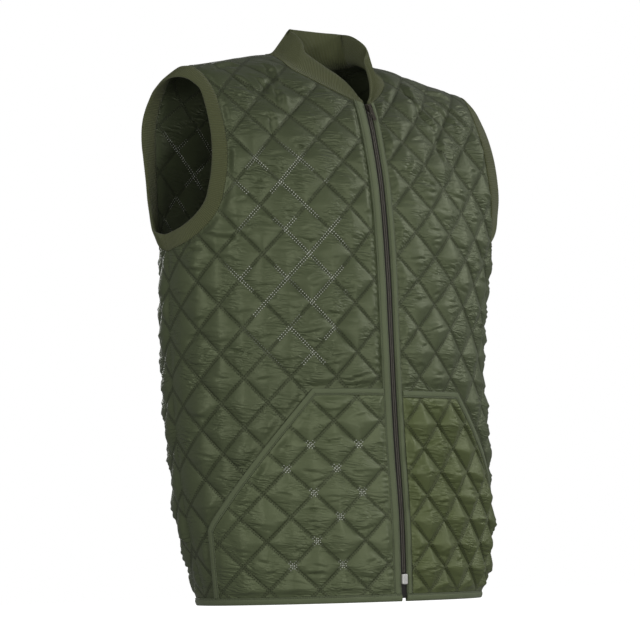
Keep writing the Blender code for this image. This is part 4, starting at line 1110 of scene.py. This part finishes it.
for word, side in SIDES.items():
    front_path = neck(side, False, 21)
    begin = ZIP_HALF + GAP
    first = int(np.searchsorted(front_path[:, 0] * side, begin))
    lead = [[side * begin, np.interp(begin, front_path[:, 0] * side, front_path[:, 1])]]
    front_path = np.concatenate([lead, front_path[first:]])
    back_path = neck(side, True, 13)[::-1]
    parts = []
    for path, back, turn in ((front_path, False, 1.0), (back_path, True, -1.0)):
        ahead = unit(np.gradient(path, axis=0))
        off = np.stack([-ahead[:, 1], ahead[:, 0]], axis=1) * side * turn
        spot, face = worn(path, back)
        near = unit(spot - worn(path - off * 0.002, back)[0])
        parts.append((spot, near, face))
    spot, on, face = [np.concatenate([a, b[1:]]) for a, b in zip(*parts)]
    run = running(spot)
    share = run / run[-1]
    leave = unit(np.exp(-((run[:, None] - run[None]) / COLLAR_STEADY) ** 2) @ on)
    height = through(share, COLLAR["share"], COLLAR[word]["height"])
    lean = np.radians(through(share, COLLAR["share"], COLLAR[word]["lean_deg"]))
    ahead = unit(np.gradient(spot[:, :2], axis=0))
    to_axis = COLLAR_TO_AXIS * unit(np.array([0.0, NECK_AXIS_Y]) - spot[:, :2])
    to_axis = to_axis + (1 - COLLAR_TO_AXIS) * side * np.stack([-ahead[:, 1], ahead[:, 0]], axis=1)
    to_axis[-1, 0] = 0.0
    to_axis = unit(to_axis)
    stand = np.concatenate([to_axis * np.sin(lean)[:, None], np.cos(lean)[:, None]], axis=1)
    flat_out = np.concatenate([-to_axis * np.cos(lean)[:, None], np.sin(lean)[:, None]], axis=1)
    middle = spot - face * (WALL / 2) + on * GAP * 1.5
    outer = []
    inner = []
    for step in range(COLLAR_STEPS + 1):
        level = step / COLLAR_STEPS
        blend = ease(level / COLLAR_TURN)
        if step in COLLAR_ROWS:
            out = unit(face * (1 - blend) + flat_out * blend)
            taper = 1.0 if level < 0.9 else 0.2 + 0.8 * math.sqrt((1 - level) / 0.1)
            half_thick = 0.5 * COLLAR_THICK * taper
            outer.append(middle + out * half_thick)
            inner.append(middle - out * half_thick)
        way = unit(leave * (1 - blend) + stand * blend)
        middle = middle + way * (height / COLLAR_STEPS)[:, None]
    halves.append((np.stack(outer, axis=1), np.stack(inner, axis=1)))
outer, inner = [np.concatenate([a, b[::-1][1:]]) for a, b in zip(*halves)]
collar = ribbed(outer, inner, False, "collar_rib", COLLAR["right"]["height"][-1])
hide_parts("collar")

# Zip
# Two dark woven tapes with a nylon coil on each, closed from the hem to the neck.
# The slider and its pull tab are lacquered metal, and the retainer box at the foot is bright.

ZIP = {"cut": 0.012, "foot": 0.0040, "out": 0.0008, "in": 0.0009, "coil": 0.0011, "at": 0.00125,
       "pitch": 0.0016, "coil_foot": 0.036, "coil_short": 0.010}
ZIP_CLOTH = (0.022, 0.020, 0.017)
COIL = (0.100, 0.090, 0.070)


def zip_weave(name, colour, roughness):
    """Dark herringbone tape or nylon, with a faint dusty unevenness."""
    material, shader, cut, (run, across, _) = finish_of(name, roughness)
    rows = (run * (2 * math.pi / 0.0009) + abs((across / 0.0014).from_line()) * 6.0).wave()
    patch = run.noise(cut, 90.0, 3.0)
    tone = (0.75 + 0.5 * patch) * (0.85 + 0.15 * rows)
    set_look(shader, tone.shade((*colour, 1.0)), rows * 0.3 + patch * 0.2, 0.0004)
    return material


for word, side in SIDES.items():
    throat = neck(side, False, NECK_POINTS)
    top = float(np.interp(ZIP_HALF, throat[:, 0] * side, throat[:, 1])) - STRIP_SHORT
    line = upright(side * GAP / 2, ZIP["foot"], top)
    other = line + (side * (ZIP_HALF - GAP / 2), 0.0)
    run = line[:, 1] - ZIP["foot"]
    rows = []
    places = []
    for share, lift in ((0.0, ZIP["out"]), (0.35, ZIP["out"]), (0.7, ZIP["out"]), (1.0, ZIP["out"] * 0.6),
                        (1.0, -ZIP["in"]), (0.0, -ZIP["in"])):
        place, face = worn(line + (other - line) * share)
        rows.append(place + face * lift)
        places.append(tape_places(run, share * ZIP_HALF))
    finish = zip_weave("zip_tape_" + word + "_weave", ZIP_CLOTH, 0.7)
    tape = sweep("zip_cloth_" + word, np.stack(rows, axis=1), np.stack(places, axis=1), False, finish)
    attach(tape, "garment")
    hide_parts("zip_tape_" + word)
    line = straight([(side * ZIP["at"], ZIP["coil_foot"]), (side * ZIP["at"], top - ZIP["coil_short"])],
                    ZIP["pitch"] / 4)
    place, face = worn(line)
    ahead = unit(np.gradient(place, axis=0))
    across = np.cross(ahead, face) * side
    run = line[:, 1]
    tooth = np.sin(2 * math.pi * run / ZIP["pitch"] + (0.0 if side < 0 else math.pi))
    turns = np.linspace(0.0, 2 * math.pi, 9)[:-1]
    rings = []
    places = []
    for turn in turns:
        wide = ZIP["coil"] * (0.82 + 0.18 * tooth) * math.cos(turn)
        tall = ZIP["coil"] * (0.72 + 0.20 * tooth) * math.sin(turn)
        rings.append(place + across * wide[:, None] + face * (ZIP["out"] + 0.0004 + tall)[:, None])
        places.append(tape_places(run, turn * ZIP["coil"]))
    finish = zip_weave("zip_coil_" + word + "_nylon", COIL, 0.42)
    coil = sweep("zip_coil_" + word, np.stack(rings, axis=1), np.stack(places, axis=1), False, finish)
    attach(coil, "garment")


def lacquer(name, colour, roughness, worn_colour, metallic):
    """Lacquered or bright metal, rubbed paler in small patches."""
    material, shader, _, parts = finish_of(name, roughness, Metallic=metallic)
    start = parts[0]
    place = start.node("ShaderNodeTexCoord", {}, {}, "Object")
    patch = start.noise(place, 700.0, 3.0)
    scratch = start.noise(place, 2600.0, 2.0)
    look = patch.step(0.50, 0.75).blend((*colour, 1.0), (*worn_colour, 1.0))
    set_look(shader, look, patch * 0.5 + scratch * 0.3, 0.0002, roughness + 0.25 * (scratch - 0.5))
    return material


dark_metal = lacquer("zip_slider_lacquer", (0.110, 0.098, 0.080), 0.38, (0.30, 0.27, 0.22), 0.8)
bright_metal = lacquer("zip_box_metal", (0.86, 0.85, 0.82), 0.40, (0.66, 0.65, 0.62), 0.4)
for node, finish in (("zip_slider", dark_metal), ("zip_pull", dark_metal), ("zip_box", bright_metal)):
    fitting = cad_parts[node]
    fitting.data.materials.clear()
    fitting.data.materials.append(finish)
    rounded = fitting.modifiers.new("rounded edges", "BEVEL")
    rounded.width = 0.00035
    rounded.segments = 3
    rounded.limit_method = "ANGLE"

# Floor, light and camera
# A plain pale floor below the hem, and soft lights in front at half height, high at both sides and behind.
# The camera stands low in front of the right side and looks slightly up, as the vest was photographed.

floor_mesh = bpy.data.meshes.new("floor")
reach = 14.0
floor_z = -0.95
floor_mesh.from_pydata([(-reach, -reach, floor_z), (reach, -reach, floor_z), (reach, reach, floor_z),
                        (-reach, reach, floor_z)], [], [(0, 1, 2, 3)])
floor = bpy.data.objects.new("floor", floor_mesh)
bpy.context.scene.collection.objects.link(floor)
pale = bpy.data.materials.new("pale_floor")
pale.use_nodes = True
for key, value in {"Base Color": (0.86, 0.86, 0.85, 1.0), "Roughness": 0.9,
                   "Emission Color": (1.0, 1.0, 1.0, 1.0), "Emission Strength": 1.0}.items():
    pale.node_tree.nodes["Principled BSDF"].inputs[key].default_value = value
floor_mesh.materials.append(pale)
floor.visible_diffuse = False
floor.visible_glossy = False

WORLD_LIGHT = 0.17
WORLD_SEEN = 1.0
world = bpy.data.worlds.new("studio")
world.use_nodes = True
nodes = world.node_tree.nodes
links = world.node_tree.links
either = nodes.new("ShaderNodeMixShader")
links.new(nodes.new("ShaderNodeLightPath").outputs["Is Camera Ray"], either.inputs[0])
for place, plain, strength in ((1, nodes["Background"], WORLD_LIGHT),
                               (2, nodes.new("ShaderNodeBackground"), WORLD_SEEN)):
    plain.inputs["Color"].default_value = (1.0, 1.0, 1.0, 1.0)
    plain.inputs["Strength"].default_value = strength
    links.new(plain.outputs[0], either.inputs[place])
links.new(either.outputs[0], nodes["World Output"].inputs["Surface"])
bpy.context.scene.world = world
bpy.context.scene.view_settings.view_transform = "Standard"


def soft_light(name, place, aim, size, power):
    lamp = bpy.data.lights.new(name, "AREA")
    lamp.size = size
    lamp.energy = power
    holder = bpy.data.objects.new(name, lamp)
    holder.location = place
    holder.rotation_euler = (Vector(aim) - Vector(place)).to_track_quat("-Z", "Y").to_euler()
    bpy.context.scene.collection.objects.link(holder)


soft_light("front", (-0.1, -2.4, -0.40), (0.0, -0.05, -0.45), 0.8, 15.5)
soft_light("right", (1.8, -0.9, 0.75), (0.1, -0.10, -0.45), 0.45, 12.5)
soft_light("left", (-2.2, -1.2, 0.40), (-0.1, -0.05, -0.40), 0.7, 15.0)
soft_light("behind", (0.6, 2.6, 0.60), (0.0, 0.10, -0.35), 1.2, 22.0)

CAMERA = {"azimuth": -33.3649, "distance": 3.7194, "height": -0.6435, "pitch": 0.0809, "yaw": 0.142,
          "roll": -0.0239, "focal_px": 2855.58}
PHOTO_WIDE = 640.0
SENSOR = 36.0
azimuth = math.radians(CAMERA["azimuth"])
look = azimuth + math.radians(CAMERA["yaw"])
ahead = Vector((-math.sin(look) * math.cos(CAMERA["pitch"]), math.cos(look) * math.cos(CAMERA["pitch"]),
                math.sin(CAMERA["pitch"])))
right = Vector((math.cos(look), math.sin(look), 0.0))
up = right.cross(ahead)
right, up = (right * math.cos(CAMERA["roll"]) + up * math.sin(CAMERA["roll"]),
             up * math.cos(CAMERA["roll"]) - right * math.sin(CAMERA["roll"]))
lens = bpy.data.cameras.new("camera")
lens.sensor_width = SENSOR
lens.lens = CAMERA["focal_px"] * SENSOR / PHOTO_WIDE
camera = bpy.data.objects.new("camera", lens)
bpy.context.scene.collection.objects.link(camera)
turned = Matrix((right, up, -ahead)).transposed().to_4x4()
stand = (math.sin(azimuth) * CAMERA["distance"], -math.cos(azimuth) * CAMERA["distance"], CAMERA["height"])
camera.matrix_world = Matrix.Translation(stand) @ turned
bpy.context.scene.camera = camera
